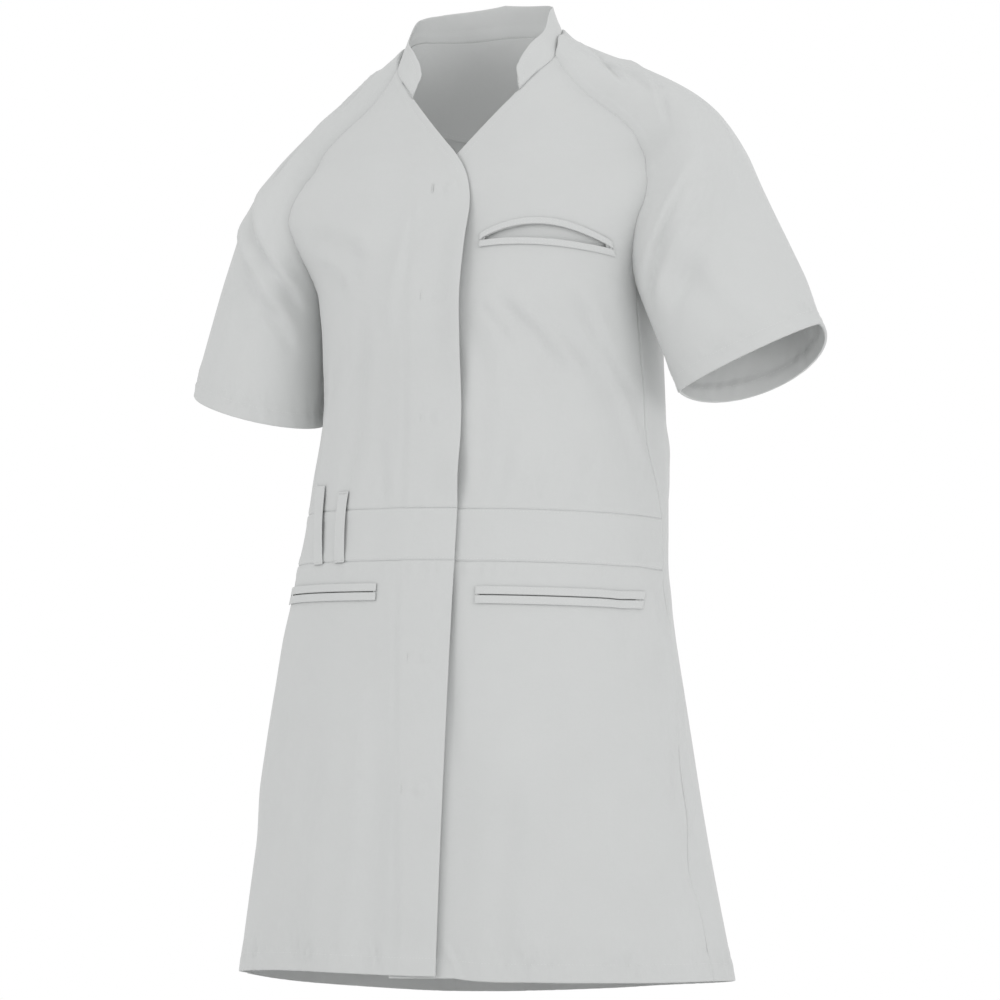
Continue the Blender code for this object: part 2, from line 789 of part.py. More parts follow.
def chest_pocket(panel, material):
    share = spread(0, 1, WELT_COLUMNS)
    x = CHEST["start"] + (CHEST["end"] - CHEST["start"]) * share
    line = CHEST["start_height"] + (CHEST["end_height"] - CHEST["start_height"]) * share
    bow = np.sin(np.pi * share) ** 0.8
    upper = line + CHEST_UPPER_LIP * bow + 0.3
    lower = line + CHEST_LOWER_LIP * bow - 0.3
    lie, behind = WALL + LIE_GAP, WALL + BAG_GAP
    strip("chest_pocket_upper_welt", "left", x, upper, upper + CHEST_WELT, 2, lie, material)
    strip("chest_pocket_lower_welt", "left", x, lower - CHEST_WELT, lower, 2, lie, material)
    bag_x = spread(CHEST["start"] - BAG_MARGIN, CHEST["end"] + BAG_MARGIN / 2, WELT_COLUMNS)
    bag_top = np.interp(bag_x, x, upper + CHEST_WELT)
    strip("chest_pocket_bag", "left", bag_x, bag_top - CHEST_BAG_DEPTH, bag_top, 6, -behind, material)
    inside = slice(1, -1)
    cut(panel, mouth_cutter("chest_mouth", "left", x[inside], lower[inside], upper[inside]))


def hip_pocket(side, panel, material):
    size = HIP[side]
    turn = FRONTS[side]["turn"]
    x = spread(size["start"], size["end"], WELT_COLUMNS)
    line = size["height"] + TILT * turn * x
    lie, behind = WALL + LIE_GAP, WALL + BAG_GAP
    upper, lower = line + HIP_MOUTH, line - HIP_MOUTH
    name = f"hip_pocket_{side}"
    strip(f"{name}_upper_welt", side, x, upper, upper + HIP_WELT, 1, lie, material)
    strip(f"{name}_lower_welt", side, x, lower - HIP_WELT, lower, 1, lie, material)
    bag_x = spread(size["start"] - BAG_MARGIN, size["end"], WELT_COLUMNS)
    bag_top = np.interp(bag_x, x, upper + HIP_WELT)
    strip(f"{name}_bag", side, bag_x, bag_top - HIP_BAG_DEPTH, bag_top, 6, -behind, material)
    inside = slice(1, -1)
    cut(panel, mouth_cutter(f"{name}_mouth", side, x[inside], lower[inside] - 2, upper[inside] + 2))


def loop_strip(name, size, material):
    share = np.linspace(0, 1, LOOP_ROWS + 1)[:, None]
    across = np.linspace(-0.5, 0.5, 3) * LOOP_WIDTH
    middle = size["bottom_x"] + (size["top_x"] - size["bottom_x"]) * share
    heights = LOOP_BOTTOM + (size["top"] - LOOP_BOTTOM) * share
    out = WALL + LIE_GAP + LOOP_BULGE * np.sin(np.pi * share)
    points = on_front("right", middle + across, heights + 0 * across, out + 0 * across)
    return cloth(f"waist_loop_{name}", points, material)


def press_stud(number, height, material):
    bpy.ops.mesh.primitive_cylinder_add(
        vertices=16, radius=STUD_RADIUS * MM, depth=STUD_THICKNESS * MM, end_fill_type="NGON"
    )
    stud = bpy.context.object
    stud.name = f"press_stud_{number}"
    stud.data.name = stud.name
    for collection in stud.users_collection:
        collection.objects.unlink(stud)
    bpy.data.collections[COLLECTION].objects.link(stud)
    normal = form_normal(np.array(0.0), np.array(height))
    stud.location = form(0.0, height) * MM
    stud.rotation_euler = (math.atan2(-normal[1], normal[2]), 0, 0)
    stud.data.materials.append(material)
    stud.data.shade_smooth()
    stud.data.set_sharp_from_angle(angle=math.radians(40))
    return stud


# Materials and assembly ----------------------------------------------------------------------------


def finish(name, colour, roughness, metallic):
    material = bpy.data.materials.new(name)
    material.use_nodes = True
    shader = material.node_tree.nodes["Principled BSDF"]
    shader.inputs["Base Color"].default_value = (*colour, 1)
    shader.inputs["Roughness"].default_value = roughness
    shader.inputs["Metallic"].default_value = metallic
    material.diffuse_color = (*colour, 1)
    return material


def clear_scene():
    for thing in list(bpy.data.objects):
        bpy.data.objects.remove(thing, do_unlink=True)
    for name in (COLLECTION, f"{COLLECTION}_cutters"):
        bpy.context.scene.collection.children.link(bpy.data.collections.new(name))


def main():
    clear_scene()
    shell = finish("tunic_cloth", CLOTH, 0.85, 0.0)
    trim = finish("trim_cloth", CLOTH, 0.85, 0.0)
    metal = finish("stud_metal", STUD_METAL, 0.35, 1.0)
    bodices = {side: bodice_front(side, shell) for side in FRONTS}
    for side in FRONTS:
        band(
            f"waistband_{side}",
            side,
            WAIST_TOP - SEAM_GAP / 2,
            WAIST_BOTTOM + SEAM_GAP / 2,
            WAISTBAND_ROWS,
            trim,
        )
        skirt = band(
            f"skirt_front_{side}", side, WAIST_BOTTOM - SEAM_GAP / 2, HEM, SKIRT_ROWS, shell
        )
        hip_pocket(side, skirt, trim)
        sleeve(side, shell)
    chest_pocket(bodices["left"], trim)
    back(shell)
    collar(trim)
    neck_facing(trim)
    for name, size in LOOPS.items():
        loop_strip(name, size, trim)
    for number, height in enumerate(STUD_HEIGHTS, 1):
        press_stud(number, height, metal)


if __name__ == "__main__":
    main()
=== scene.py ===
"""A medical tunic as it is worn, with nobody in it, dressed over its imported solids.

The shapes below are worked out in millimetres and degrees from the garment's own sizes: angles run
round the body from the centre front towards the wearer's left, heights from the base of the neck.
Each cloth piece is a thin shell with its seams, hems, creases and puckers in its two faces.
"""

import math

import bmesh
import bpy
import numpy as np
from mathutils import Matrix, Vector, kdtree


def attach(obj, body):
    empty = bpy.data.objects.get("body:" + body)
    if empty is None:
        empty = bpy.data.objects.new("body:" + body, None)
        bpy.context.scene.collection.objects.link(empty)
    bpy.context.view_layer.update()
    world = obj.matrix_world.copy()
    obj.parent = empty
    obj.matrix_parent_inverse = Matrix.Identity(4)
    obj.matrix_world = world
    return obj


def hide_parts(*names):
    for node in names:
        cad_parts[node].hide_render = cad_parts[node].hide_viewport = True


bl_info = {
    "name": "Medical Tunic",
    "version": (1, 0, 0),
    "blender": (4, 5, 0),
    "location": "3D View > Sidebar > Tunic",
    "description": "Builds the cloth, sewing, studs and studio of a worn medical tunic",
    "category": "Object",
}

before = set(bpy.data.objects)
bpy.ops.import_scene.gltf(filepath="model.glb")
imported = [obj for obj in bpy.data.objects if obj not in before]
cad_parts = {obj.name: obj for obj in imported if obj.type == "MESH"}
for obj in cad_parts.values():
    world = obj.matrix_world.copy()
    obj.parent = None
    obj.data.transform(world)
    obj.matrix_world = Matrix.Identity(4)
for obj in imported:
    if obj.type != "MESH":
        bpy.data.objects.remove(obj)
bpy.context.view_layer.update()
MM = 0.001
RADIUS = 150.0  # on which angles round the body are turned into millimetres

# --- Sizes that the solids share

OVERLAP, UNDERLAP = 21.5, 24.0  # the free edges past the centre front
PLACKET_STEP, PLACKET_EASE = 2.1, 38.0  # how far the two fronts part there, and where they meet the form
GAPE_REACH = 26.0
V_POINT, V_SLOPE = -81.5, 1.106
V_ROUND, V_ROUND_POWER = 68.5, 2.6
NECK_END = 48.0
WAIST_TOP, WAIST_BOTTOM = -404.5, -451.0
HEM_LEVEL = -813.0  # at the centre front; HEM_LINE has the rest
SEAM_GAP = 0.1  # from each piece to the middle of its seam
HEM_UNDER = 14.0  # the under front's hem runs on level from this angle to its edge
TILT = -0.035
STUD_HEIGHTS = (-114.8, -214.3, -323.0, -431.9, -536.3, -651.5)


class Table:
    """Rows of named columns, given as text: spaces part the numbers of a row, and commas the rows."""

    def __init__(self, names, rows):
        self.names = names.split()
        self.rows = np.array(sorted([float(number) for number in row.split()] for row in rows.split(",")))

    def at(self, name, key):
        """A column's values at values of the first column, along a smooth curve between the rows."""
        keys = self.rows[:, 0]
        values = self.rows[:, self.names.index(name)]
        slopes = np.gradient(values, keys)
        key = np.clip(np.asarray(key, float), keys[0], keys[-1])
        i = np.clip(np.searchsorted(keys, key) - 1, 0, len(keys) - 2)
        span = keys[i + 1] - keys[i]
        u = (key - keys[i]) / span
        return (
            values[i] * (1 + 2 * u) * (1 - u) ** 2
            + values[i + 1] * u**2 * (3 - 2 * u)
            + span * u * (1 - u) * (slopes[i] * (1 - u) - slopes[i + 1] * u)
        )


# Level sections of the worn tunic without its arms. front and back are how far the section reaches
# ahead of and behind the origin, middle is where it is widest, and square is the power of its curve.
FORM = Table(
    "height half front back middle square",
    """
    60 66 50 58 0 2, 44 71 48 63 0 2, 10 82 44 82 4 2, -14 104 42 97 8 2, -29 120 45 105 10 2,
    -48 145 51 113 12 2, -64 162 55 118 13 2, -82 172 59.5 123 14 2.1, -95 180 63 127 14 2.4,
    -118 189 71 133 15 2.9, -132 189 75 136 15 3.1, -150 180 80 140 15 3.1, -167 170 84.5 143 15 2.9,
    -182 162 88 145 15 2.7, -198 157 92 147 16 2.5, -214 155.5 95 149 17 2.4, -255 156 95.5 153 23 2.2,
    -292 157.5 95 153.5 27 2.1, -337 162 96 145 20 2.1, -382 166.5 101 130 15 2.1,
    -418 169.5 106 121 8 2.1, -454 173.5 110.5 115 -4 2.1, -490 178.5 115.5 113 -8 2.1,
    -562 189 124.5 121 -10 2.1, -688 207 138.5 134 -10 2.1, -830 230 151.5 160 -2 2.1
    """,
)

# Height of the neck seam by angle.
NECK = Table(
    "angle height",
    """
    48 -24, 62 -7, 77 9, 90 28, 104 36, 118 38.5, 140 40.5, 180 44
    """,
)

# Height of the hem by angle, all the way round.
HEM_LINE = Table(
    "angle height",
    """
    0 -813, 11 -813.6, 20 -816.5, 40 -818, 64 -818.5, 88 -817.5, 106 -818, 120 -820, 140 -823, 160 -826,
    180 -828.3, 200 -829.5, 216 -829, 230 -826.5, 246 -822, 260 -817, 272 -812.5, 284 -810, 300 -808.5,
    316 -808.5, 332 -810.3, 346 -811.8, 360 -813
    """,
)

# Angles of the raglan seams by height. Each ends at the armpit, on the side seam.
RAGLAN_FRONT = Table(
    "height angle",
    """
    9 77, -14 77, -30 77.7, -48 79.5, -65 80.5, -84 79.8, -107 75.5, -130 72.3, -150 71, -170 72.8,
    -190 77, -203 80
    """,
)
RAGLAN_BACK = Table(
    "height angle",
    """
    38.5 118, 10 114, -25 112, -60 111, -100 111, -130 112, -155 109, -180 97, -203 80
    """,
)

# Angle of the side seam by height.
SIDE = Table(
    "height angle",
    """
    -203 80, -300 81, -350 83, -394 88, -430 91, -490 90, -580 88, -830 88
    """,
)

# The main soft folds of the body: a ridge (depth over 0) or trough that runs down the form between two
# angles and heights, width being how far from its middle it dies away.
FOLDS = Table(
    "top angle_top bottom angle_bottom width depth",
    """
    -214 26 -330 50 14 -2.4, -240 40 -350 66 15 2, -225 -30 -395 -38 20 2.2, -215 -48 -400 -55 16 -2,
    -335 -22 -403 -20 12 -1.6, -250 58 -404 84 12 -2.2, -455 92 -700 74 20 4, -470 100 -829 86 22 -4.5,
    -560 64 -829 60 26 -2.6, -590 40 -829 36 30 3, -600 20 -829 17 24 -2.4, -470 -60 -829 -54 26 3,
    -520 -40 -829 -36 24 -2.6, -480 -80 -829 -72 22 -3, -450 118 -829 112 30 6,
    -430 140 -829 138 30 -6.5, -400 162 -829 160 32 7, -380 180 -829 181 28 -5,
    -410 201 -829 204 32 6.5, -440 222 -829 226 30 -6, -460 243 -829 250 28 5, -230 130 -400 150 24 3.5,
    -240 225 -400 208 24 3, -200 165 -330 172 22 -2.5
    """,
)
FOLD_FADE = 60.0  # over which a fold grows from its top and dies at its foot, unless it meets the hem

# The main soft folds of the sleeves, from one place to another. rise runs from the cuff (0) to the neck
# (1), round runs from the front edge (0) over the shoulder line (0.5) to the back edge (1).
SLEEVE_FOLDS = {
    "left": Table(
        "rise_from round_from rise_to round_to width depth",
        """
        0.1 0.52 0.62 0.42 0.05 3, 0.2 0.4 0.6 0.33 0.045 -2.6, 0.22 0.22 0.45 0.12 0.05 -3,
        0.25 0.3 0.5 0.2 0.05 2.6, 0.05 0.66 0.55 0.72 0.05 2.8, 0.12 0.8 0.48 0.86 0.05 -3,
        0.8 0.28 0.95 0.3 0.08 -1.6
        """,
    ),
    "right": Table(
        "rise_from round_from rise_to round_to width depth",
        """
        0.28 0.36 0.48 0.14 0.045 -3.4, 0.24 0.28 0.42 0.1 0.045 3, 0.04 0.46 0.5 0.5 0.05 2.2,
        0.08 0.58 0.52 0.66 0.05 -2.6, 0.06 0.74 0.45 0.84 0.05 2.8
        """,
    ),
}

# The shoulder line of each sleeve, from the armpit's level (along 0) to the neck (along 1).
SHOULDER = {
    "left": Table(
        "along out back height",
        """
        0 267 20 -136, 0.25 241 20 -80, 0.5 211 20 -39, 0.75 158 18 -6, 0.9 104 14 18, 1 73.5 9.5 32.5
        """,
    ),
    "right": Table(
        "along out back height",
        """
        0 259 20 -167, 0.25 231 20 -103, 0.5 196 20 -57, 0.75 149 18 -17, 0.9 103 14 15, 1 73.5 9.5 32.5
        """,
    ),
}

# The cuff openings, for a sleeve out along +X: centre, half axis to the outer arm, half axis to the back.
CUFF = {
    "left": ((256.5, 1, -272), (63, 8.5, 28.5), (-6, 41, 4), (6.5, 58, -19)),
    "right": ((226, 7, -295.5), (61, 0, 19), (0, 56, 12), (0, 56, 12)),
}

# Stretches of the placket's edge that stand open between studs.
GAPES = Table(
    "height lift",
    """
    -450 0, -405 0, -375 4, -340 1, -315 0.5, -270 4.5, -215 5.5, -160 3.5, -135 0, 0 0
    """,
)

# The collar's height and lean by angle: it rounds down to its front ends.
COLLAR = Table(
    "angle height lean",
    """
    48 7 2, 50 15.5 8.5, 54 20 11.5, 62 25 12, 77 25.5 10.5, 100 24 8, 135 28 9, 180 30 9.5
    """,
)
FACING_LOW, FACING_SIDE, FACING_END, FACING_INSET = -46.5, 22.0, 92.0, -1.5

# The chest pocket, on the wearer's left: its two lips part in the middle.
CHEST = {"start": 33.0, "end": 147.0, "start_height": -166.0, "end_height": -175.5}
CHEST_UPPER_LIP = 16.5  # rise of each lip above the straight line between the mouth's ends
CHEST_LOWER_LIP = 4.3
CHEST_WELT = 6.0
CHEST_BAG_DEPTH = 120.0

# The hip pockets: distance of each end from the mid-plane and height of the mouth.
HIP = {
    "left": {"start": 41.5, "end": 170.0, "height": -481.0},
    "right": {"start": 53.5, "end": 172.0, "height": -479.0},
}
HIP_WELT = 7.2
HIP_MOUTH = 0.5  # half of the slit between the welts
HIP_BAG_DEPTH = 150.0
BAG_MARGIN = 8.0  # a pocket bag's reach past each end of its mouth

# The two loops on the right waistband: distance from the mid-plane at the top and bottom, and top height.
LOOPS = {
    "inner": {"top_x": 99.0, "bottom_x": 96.5, "top": -384.0},
    "outer": {"top_x": 131.0, "bottom_x": 123.0, "top": -376.0},
}
LOOP_WIDTH = 12.0
LOOP_BOTTOM = -449.0
LOOP_BULGE = 1.6  # how far a loop stands off between its ends


# --- Sizes of the looks alone

HEM, CUFF_HEM = 17.0, 15.0  # depth of the turned hems
WELT_OUT = 1.9  # from the middle of a front's cloth to the middle of a welt's
TACK_X = 17.0
ALLOWANCE = 9.5  # how far the thicker strip along a seam reaches
EDGE_ROUND = 0.4  # how much a folded edge is rounded off on each face
STITCH_IN = 1.5  # from a turned hem's upper edge down to its stitches
FACING_IN = 2.0  # from the form back to the middle of the facing's cloth
BAG_IN = 3.4  # from the middle of a front's cloth back to the middle of a bag's
MOUTH_REACH = 4.0  # of the block that cuts a pocket's mouth, each way from the front's cloth
TACK_WIDTH = 1.6
STITCH_HALF, STITCH_RISE = 0.34, 0.26  # half of a stitch's width, and how proud it stands
STUD_HALF = ((3.1, 0.0), (3.4, 0.16), (4.7, 0.22), (5.0, 0.45), (4.7, 0.70), (3.6, 0.80), (0.01, 0.80))
SLEEVE_SIZE = (340, 320)  # turns shares round and along a sleeve into millimetres
SHUT = 0.02  # the two ends of a row no further apart than this are one
TUBE_SHARE = 0.36  # how much of a sleeve's length is below the armpit
MATERIALS = {
    "tunic_cloth": "grey_twill",
    "trim_cloth": "grey_twill_trim",
    "thread": "grey_thread",
    "stud_metal": "plated_metal",
}

LIGHTS = (  # name, place, size, share of the key light, what it is turned to
    ("key", (-2.4, -3.0, 1.0), 2.2, 1.0, (0.0, 0.0, -0.4)),
    ("fill", (3.2, -1.7, -0.3), 2.4, 1.3, (0.0, 0.0, -0.4)),
    ("top", (0.3, 0.4, 2.6), 2.4, 0.4, (0.0, 0.0, -0.4)),
    ("rear", (-0.8, 3.2, 0.9), 2.6, 1.1, (0.0, 0.0, -0.4)),
    ("neck", (0.01, -0.03, -0.18), 0.12, 0.0046, (0.0, 0.115, -0.11)),
)

CAMERA_ROUND, CAMERA_UP = 23.0, -5.5  # degrees
CAMERA_AWAY, CAMERA_LENS = 4.0, 160.0  # metres, and millimetres
AIM_ASIDE, AIM_HEIGHT = 0.0162, -0.388  # of the point that the camera is turned to, in metres
FLOOR_RADIUS, FLOOR_RIM = 5.0, 2.5  # metres

# The seam that shapes each bodice front: its heights, and its angle at each, from the waist up.
DART = ([-404.5, -394, -351, -319, -281, -248, -215], [87.0, 85.5, 78.4, 73.0, 68.3, 64.0, 58.8])


def smooth(x):
    """0 below 0, 1 above 1, and an even curve between."""
    x = np.clip(x, 0.0, 1.0)
    return x * x * (3 - 2 * x)


def bell(x):
    """1 at 0, dying away evenly on both sides."""
    return np.exp(-(x**2))


def unit(vectors):
    return vectors / np.linalg.norm(vectors, axis=-1, keepdims=True)


def fold_relief(angle, height):
    """How far the body's folds move its cloth out."""
    total = np.zeros_like(angle)
    for top, angle_top, bottom, angle_bottom, width, depth in FOLDS.rows:
        share = np.clip((top - height) / (top - bottom), 0, 1)
        middle = angle_top + (angle_bottom - angle_top) * share
        away = np.radians((angle - middle + 180) % 360 - 180) * RADIUS
        foot = 1.0 if bottom < HEM_LEVEL else smooth((height - bottom) / FOLD_FADE)
        total = total + depth * bell(away / width) * smooth((top - height) / FOLD_FADE) * foot
    return total


def form(angle, height):
    """Points of the form, in millimetres, at angles in degrees and heights."""
    angle, height = np.broadcast_arrays(np.asarray(angle, float), np.asarray(height, float))
    turn = np.radians(angle)
    middle = FORM.at("middle", height)
    ahead = np.cos(turn) > 0
    depth = np.where(ahead, FORM.at("front", height) + middle, FORM.at("back", height) - middle)
    half = FORM.at("half", height)
    power = FORM.at("square", height)
    reach = (np.abs(np.cos(turn) / depth) ** power + np.abs(np.sin(turn) / half) ** power) ** (-1 / power)
    reach = reach + fold_relief(angle, height)
    return np.stack([reach * np.sin(turn), middle - reach * np.cos(turn), height], -1)


def form_normal(angle, height):
    across = form(angle + 0.5, height) - form(angle - 0.5, height)
    upward = form(angle, height + 1.5) - form(angle, height - 1.5)
    return unit(np.cross(across, upward))


def place(angle, height, out=0.0):
    """Points moved out from the form along its normal."""
    angle, height, out = np.broadcast_arrays(*(np.asarray(v, float) for v in (angle, height, out)))
    return form(angle, height) + form_normal(angle, height) * out[..., None]


def front_angle(x, height):
    """The angle at which the front of the form is x from the mid-plane."""
    x, height = np.broadcast_arrays(np.asarray(x, float), np.asarray(height, float))
    depth = FORM.at("front", height) + FORM.at("middle", height)
    power = FORM.at("square", height)
    share = np.clip(np.abs(x) / FORM.at("half", height), 0, 0.999)
    ahead = depth * (1 - share**power) ** (1 / power)
    return np.degrees(np.arctan2(x, ahead))


def slide(angle, height, distance):
    """Angles moved round the form by a distance in millimetres."""
    radius = np.linalg.norm(form(angle, height)[..., :2], axis=-1)
    return angle + np.degrees(distance / radius)


def pairs(angles, heights):
    angles, heights = np.broadcast_arrays(angles, heights)
    return np.stack([angles, heights], -1)


def over_edge(height):
    """How far the over front's free edge is from the mid-plane, on its own side when over 0."""
    height = np.asarray(height, float)
    past = 1 - np.clip((V_POINT - height) / V_ROUND, 0, 1)
    return np.where(height > V_POINT, (height - V_POINT) / V_SLOPE, -OVERLAP * (1 - past**V_ROUND_POWER))


def under_edge(height):
    return np.maximum((np.asarray(height, float) - V_POINT) / V_SLOPE, -UNDERLAP)


def over_lift(x, height):
    """How far out from the form the over front lies, x from the mid-plane on its own side."""
    step = PLACKET_STEP * (1 - smooth((x - UNDERLAP) / PLACKET_EASE))
    edge = 1 - smooth((x + OVERLAP) / GAPE_REACH)
    return step + GAPES.at("lift", height) * edge


def under_lift(x, height):
    step = 1 - smooth((x - OVERLAP) / PLACKET_EASE)
    return -PLACKET_STEP * step + 0 * height


TURN = {"right": -1, "left": 1}
FREE_EDGE = {"right": over_edge, "left": under_edge}
LIFT = {"right": over_lift, "left": under_lift}


def tilted(height, x):
    """A height that drops a little towards the wearer's left."""
    return height + TILT * x


def hem_height(angles):
    """Height of the hem at angles that run from the centre front towards the wearer's left."""
    return HEM_LINE.at("height", np.asarray(angles, float) % 360)


# --- Creases, puckers and folds that are finer than those of the solids

# Soft creases of the body, each from one place to another. bend bows it to one side, in millimetres.
CREASES = Table(
    "angle_from height_from angle_to height_to width depth bend",
    """
    27 -222 49 -288 7 -1.5 4, 34 -226 57 -292 6 1.2 5, 20 -228 31 -262 5 -0.9 2,
    55 -214 74 -300 6 -1.3 -4, 63 -262 80 -372 7 1.3 5, 12 -250 15 -398 9 0.7 3,
    30 -330 26 -402 8 -0.8 2, 46 -352 40 -403 6 0.7 -2, 60 -356 55 -403 6 -0.8 2,
    -62 -150 -40 -178 7 -1.2 5, -60 -168 -44 -205 6 1.1 5, -20 -130 -24 -240 9 0.8 -4,
    -38 -230 -46 -398 9 -1.1 5, -60 -260 -62 -396 8 1 -4, -28 -340 -24 -403 6 -0.8 0,
    -74 -240 -80 -380 7 -1.2 3, 78 -455 84 -560 9 1.9 6, 88 -470 80 -600 8 -2 -6,
    70 -470 72 -540 7 -1 3, 96 -520 88 -690 10 1.8 8, 84 -610 90 -750 10 -1.8 -6,
    62 -640 58 -812 13 1.1 6, 36 -650 30 -812 12 -1 -5, -30 -560 -27 -812 13 1 6,
    -48 -600 -45 -812 12 -1.1 -5, -78 -500 -70 -700 10 1.4 6, 8 -470 12 -640 10 -0.7 3,
    112 -190 132 -262 8 -1.9 -6, 118 -170 146 -240 8 1.7 -7, 128 -300 156 -396 9 -1.8 8,
    140 -280 166 -372 8 1.6 8, 104 -330 118 -420 8 1.5 -5, 172 -90 168 -190 9 -1.2 5,
    186 -110 194 -230 9 1.1 -5, 248 -190 228 -262 8 -1.9 6, 240 -170 214 -246 8 1.6 7,
    232 -300 204 -392 9 -1.7 -8, 256 -320 240 -420 8 1.6 5, 176 -410 170 -520 9 1.6 6,
    196 -420 206 -560 9 -1.6 -7, 150 -430 142 -540 9 -1.7 6, 216 -460 222 -610 10 1.7 6,
    126 -540 122 -700 11 1.6 -7, 236 -520 242 -680 11 -1.6 7, 183 -600 186 -820 13 1.4 7
    """,
)

# The same for the sleeves, in shares: rise from the cuff to the neck, round from the front over the top.
SLEEVE_CREASES = {
    "left": Table(
        "rise_from round_from rise_to round_to width depth bend",
        """
        0.3 0.08 0.5 0.26 7 -1.6 6, 0.26 0.11 0.44 0.32 7 1.5 7, 0.2 0.14 0.34 0.34 7 -1.2 6,
        0.36 0.4 0.74 0.42 6 1 -5, 0.8 0.38 0.97 0.33 6 0.7 2, 0.1 0.3 0.3 0.27 8 0.9 4,
        0.86 0.22 0.94 0.48 4 -1.3 3, 0.79 0.26 0.88 0.5 5 1.1 4, 0.72 0.18 0.8 0.36 5 -0.9 3,
        0.06 0.62 0.38 0.66 8 -1.5 7, 0.14 0.76 0.46 0.72 8 1.6 -7, 0.3 0.92 0.5 0.7 8 -1.8 7,
        0.6 0.6 0.8 0.66 7 1.1 -5
        """,
    ),
    "right": Table(
        "rise_from round_from rise_to round_to width depth bend",
        """
        0.34 0.06 0.54 0.36 7 -2.2 9, 0.3 0.1 0.48 0.4 7 1.9 9, 0.22 0.1 0.38 0.28 7 -1.3 6,
        0.1 0.34 0.34 0.3 8 1 5, 0.62 0.24 0.8 0.4 6 -1.1 5, 0.84 0.24 0.93 0.46 4 1 3,
        0.08 0.6 0.4 0.68 8 -1.4 6, 0.16 0.8 0.46 0.74 8 1.6 -7, 0.3 0.9 0.52 0.68 8 -1.7 6
        """,
    ),
}


def strokes(table, across, along, across_size, along_size, strength):
    """The relief of a table of creases at places given by two coordinates and their sizes in millimetres."""
    total = np.zeros(across.shape)
    order = 1 if table.names[0] == "angle_from" else -1  # a sleeve's rows give the place along it first
    for row in table.rows:
        start, end = row[:4].reshape(2, 2)[:, ::order] * (across_size, along_size)
        width, depth, bend = row[4:]
        way = end - start
        length = np.linalg.norm(way)
        way = way / length
        x, y = across * across_size - start[0], along * along_size - start[1]
        share = (x * way[0] + y * way[1]) / length
        inside = np.clip(share, 0, 1)
        aside = (-x * way[1] + y * way[0] - bend * 4 * inside * (1 - inside)) / width
        ends = smooth(share / 0.35 + 0.4) * smooth((1 - share) / 0.35 + 0.4)
        uneven = 1 + 0.25 * np.sin(9 * share + start[0])
        total += depth * ends * uneven * (bell(aside) - 0.4 * bell((aside - 1.8) / 1.2))
    return total * strength


def wave(along, seed, pitch):
    """An uneven wave between -1 and 1 along a seam: calm in some stretches and lively in others."""
    turn = 2 * math.pi * along / pitch
    sway = np.sin(turn + seed) + 0.7 * np.sin(1.618 * turn + 2.3 * seed)
    sway = sway + 0.5 * np.sin(0.618 * turn + 4.1 * seed)
    calm = 0.5 + 0.5 * np.sin(2 * math.pi * along / (6.3 * pitch) + 1.7 * seed)
    return sway / 2.2 * (0.25 + 0.75 * calm)


# --- Grids and shells


def stations(length, spacing, keep=()):
    """Shares from 0 to 1 along a length, closer together near both ends."""
    ends = np.array([0, 0.5, 1.1, 2.0])
    middle = np.linspace(3.6, length - 3.6, max(3, round(length / spacing)))
    marks = np.unique(np.round(np.concatenate([ends, middle, length - ends[::-1]]) / length, 6))
    for share in keep:
        marks[np.argmin(np.abs(marks - share))] = share
    return marks


def patch(rows, columns, near, far, bottom, top):
    """Angles and heights over a four-sided piece, from those along its four edges."""
    u, v = rows[:, None, None], columns[None, :, None]
    across = near[:, None] * (1 - v) + far[:, None] * v
    along = bottom[None] * (1 - u) + top[None] * u
    low = bottom[0] * (1 - v) + bottom[-1] * v
    high = top[0] * (1 - v) + top[-1] * v
    return across + along - low * (1 - u) - high * u


def run(points, axis):
    """How far each point is along its row (axis 1) or column (axis 0) of a grid, in millimetres."""
    steps = np.linalg.norm(np.diff(points, axis=axis), axis=-1)
    return np.insert(np.cumsum(steps, axis=axis), 0, 0, axis=axis)


def away_from(points, line):
    """How far each point of a grid is from a line of points."""
    steps = run(line, 0)
    marks = np.linspace(0, steps[-1], max(2, int(steps[-1] / 0.5)))
    tree = kdtree.KDTree(len(marks))
    for i, point in enumerate(zip(*(np.interp(marks, steps, line[:, k]) for k in range(3)))):
        tree.insert(point, i)
    tree.balance()
    return np.array([tree.find(point)[2] for point in points.reshape(-1, 3)]).reshape(points.shape[:2])


def grid_normals(points):
    return unit(np.cross(np.gradient(points, axis=1), np.gradient(points, axis=0)))


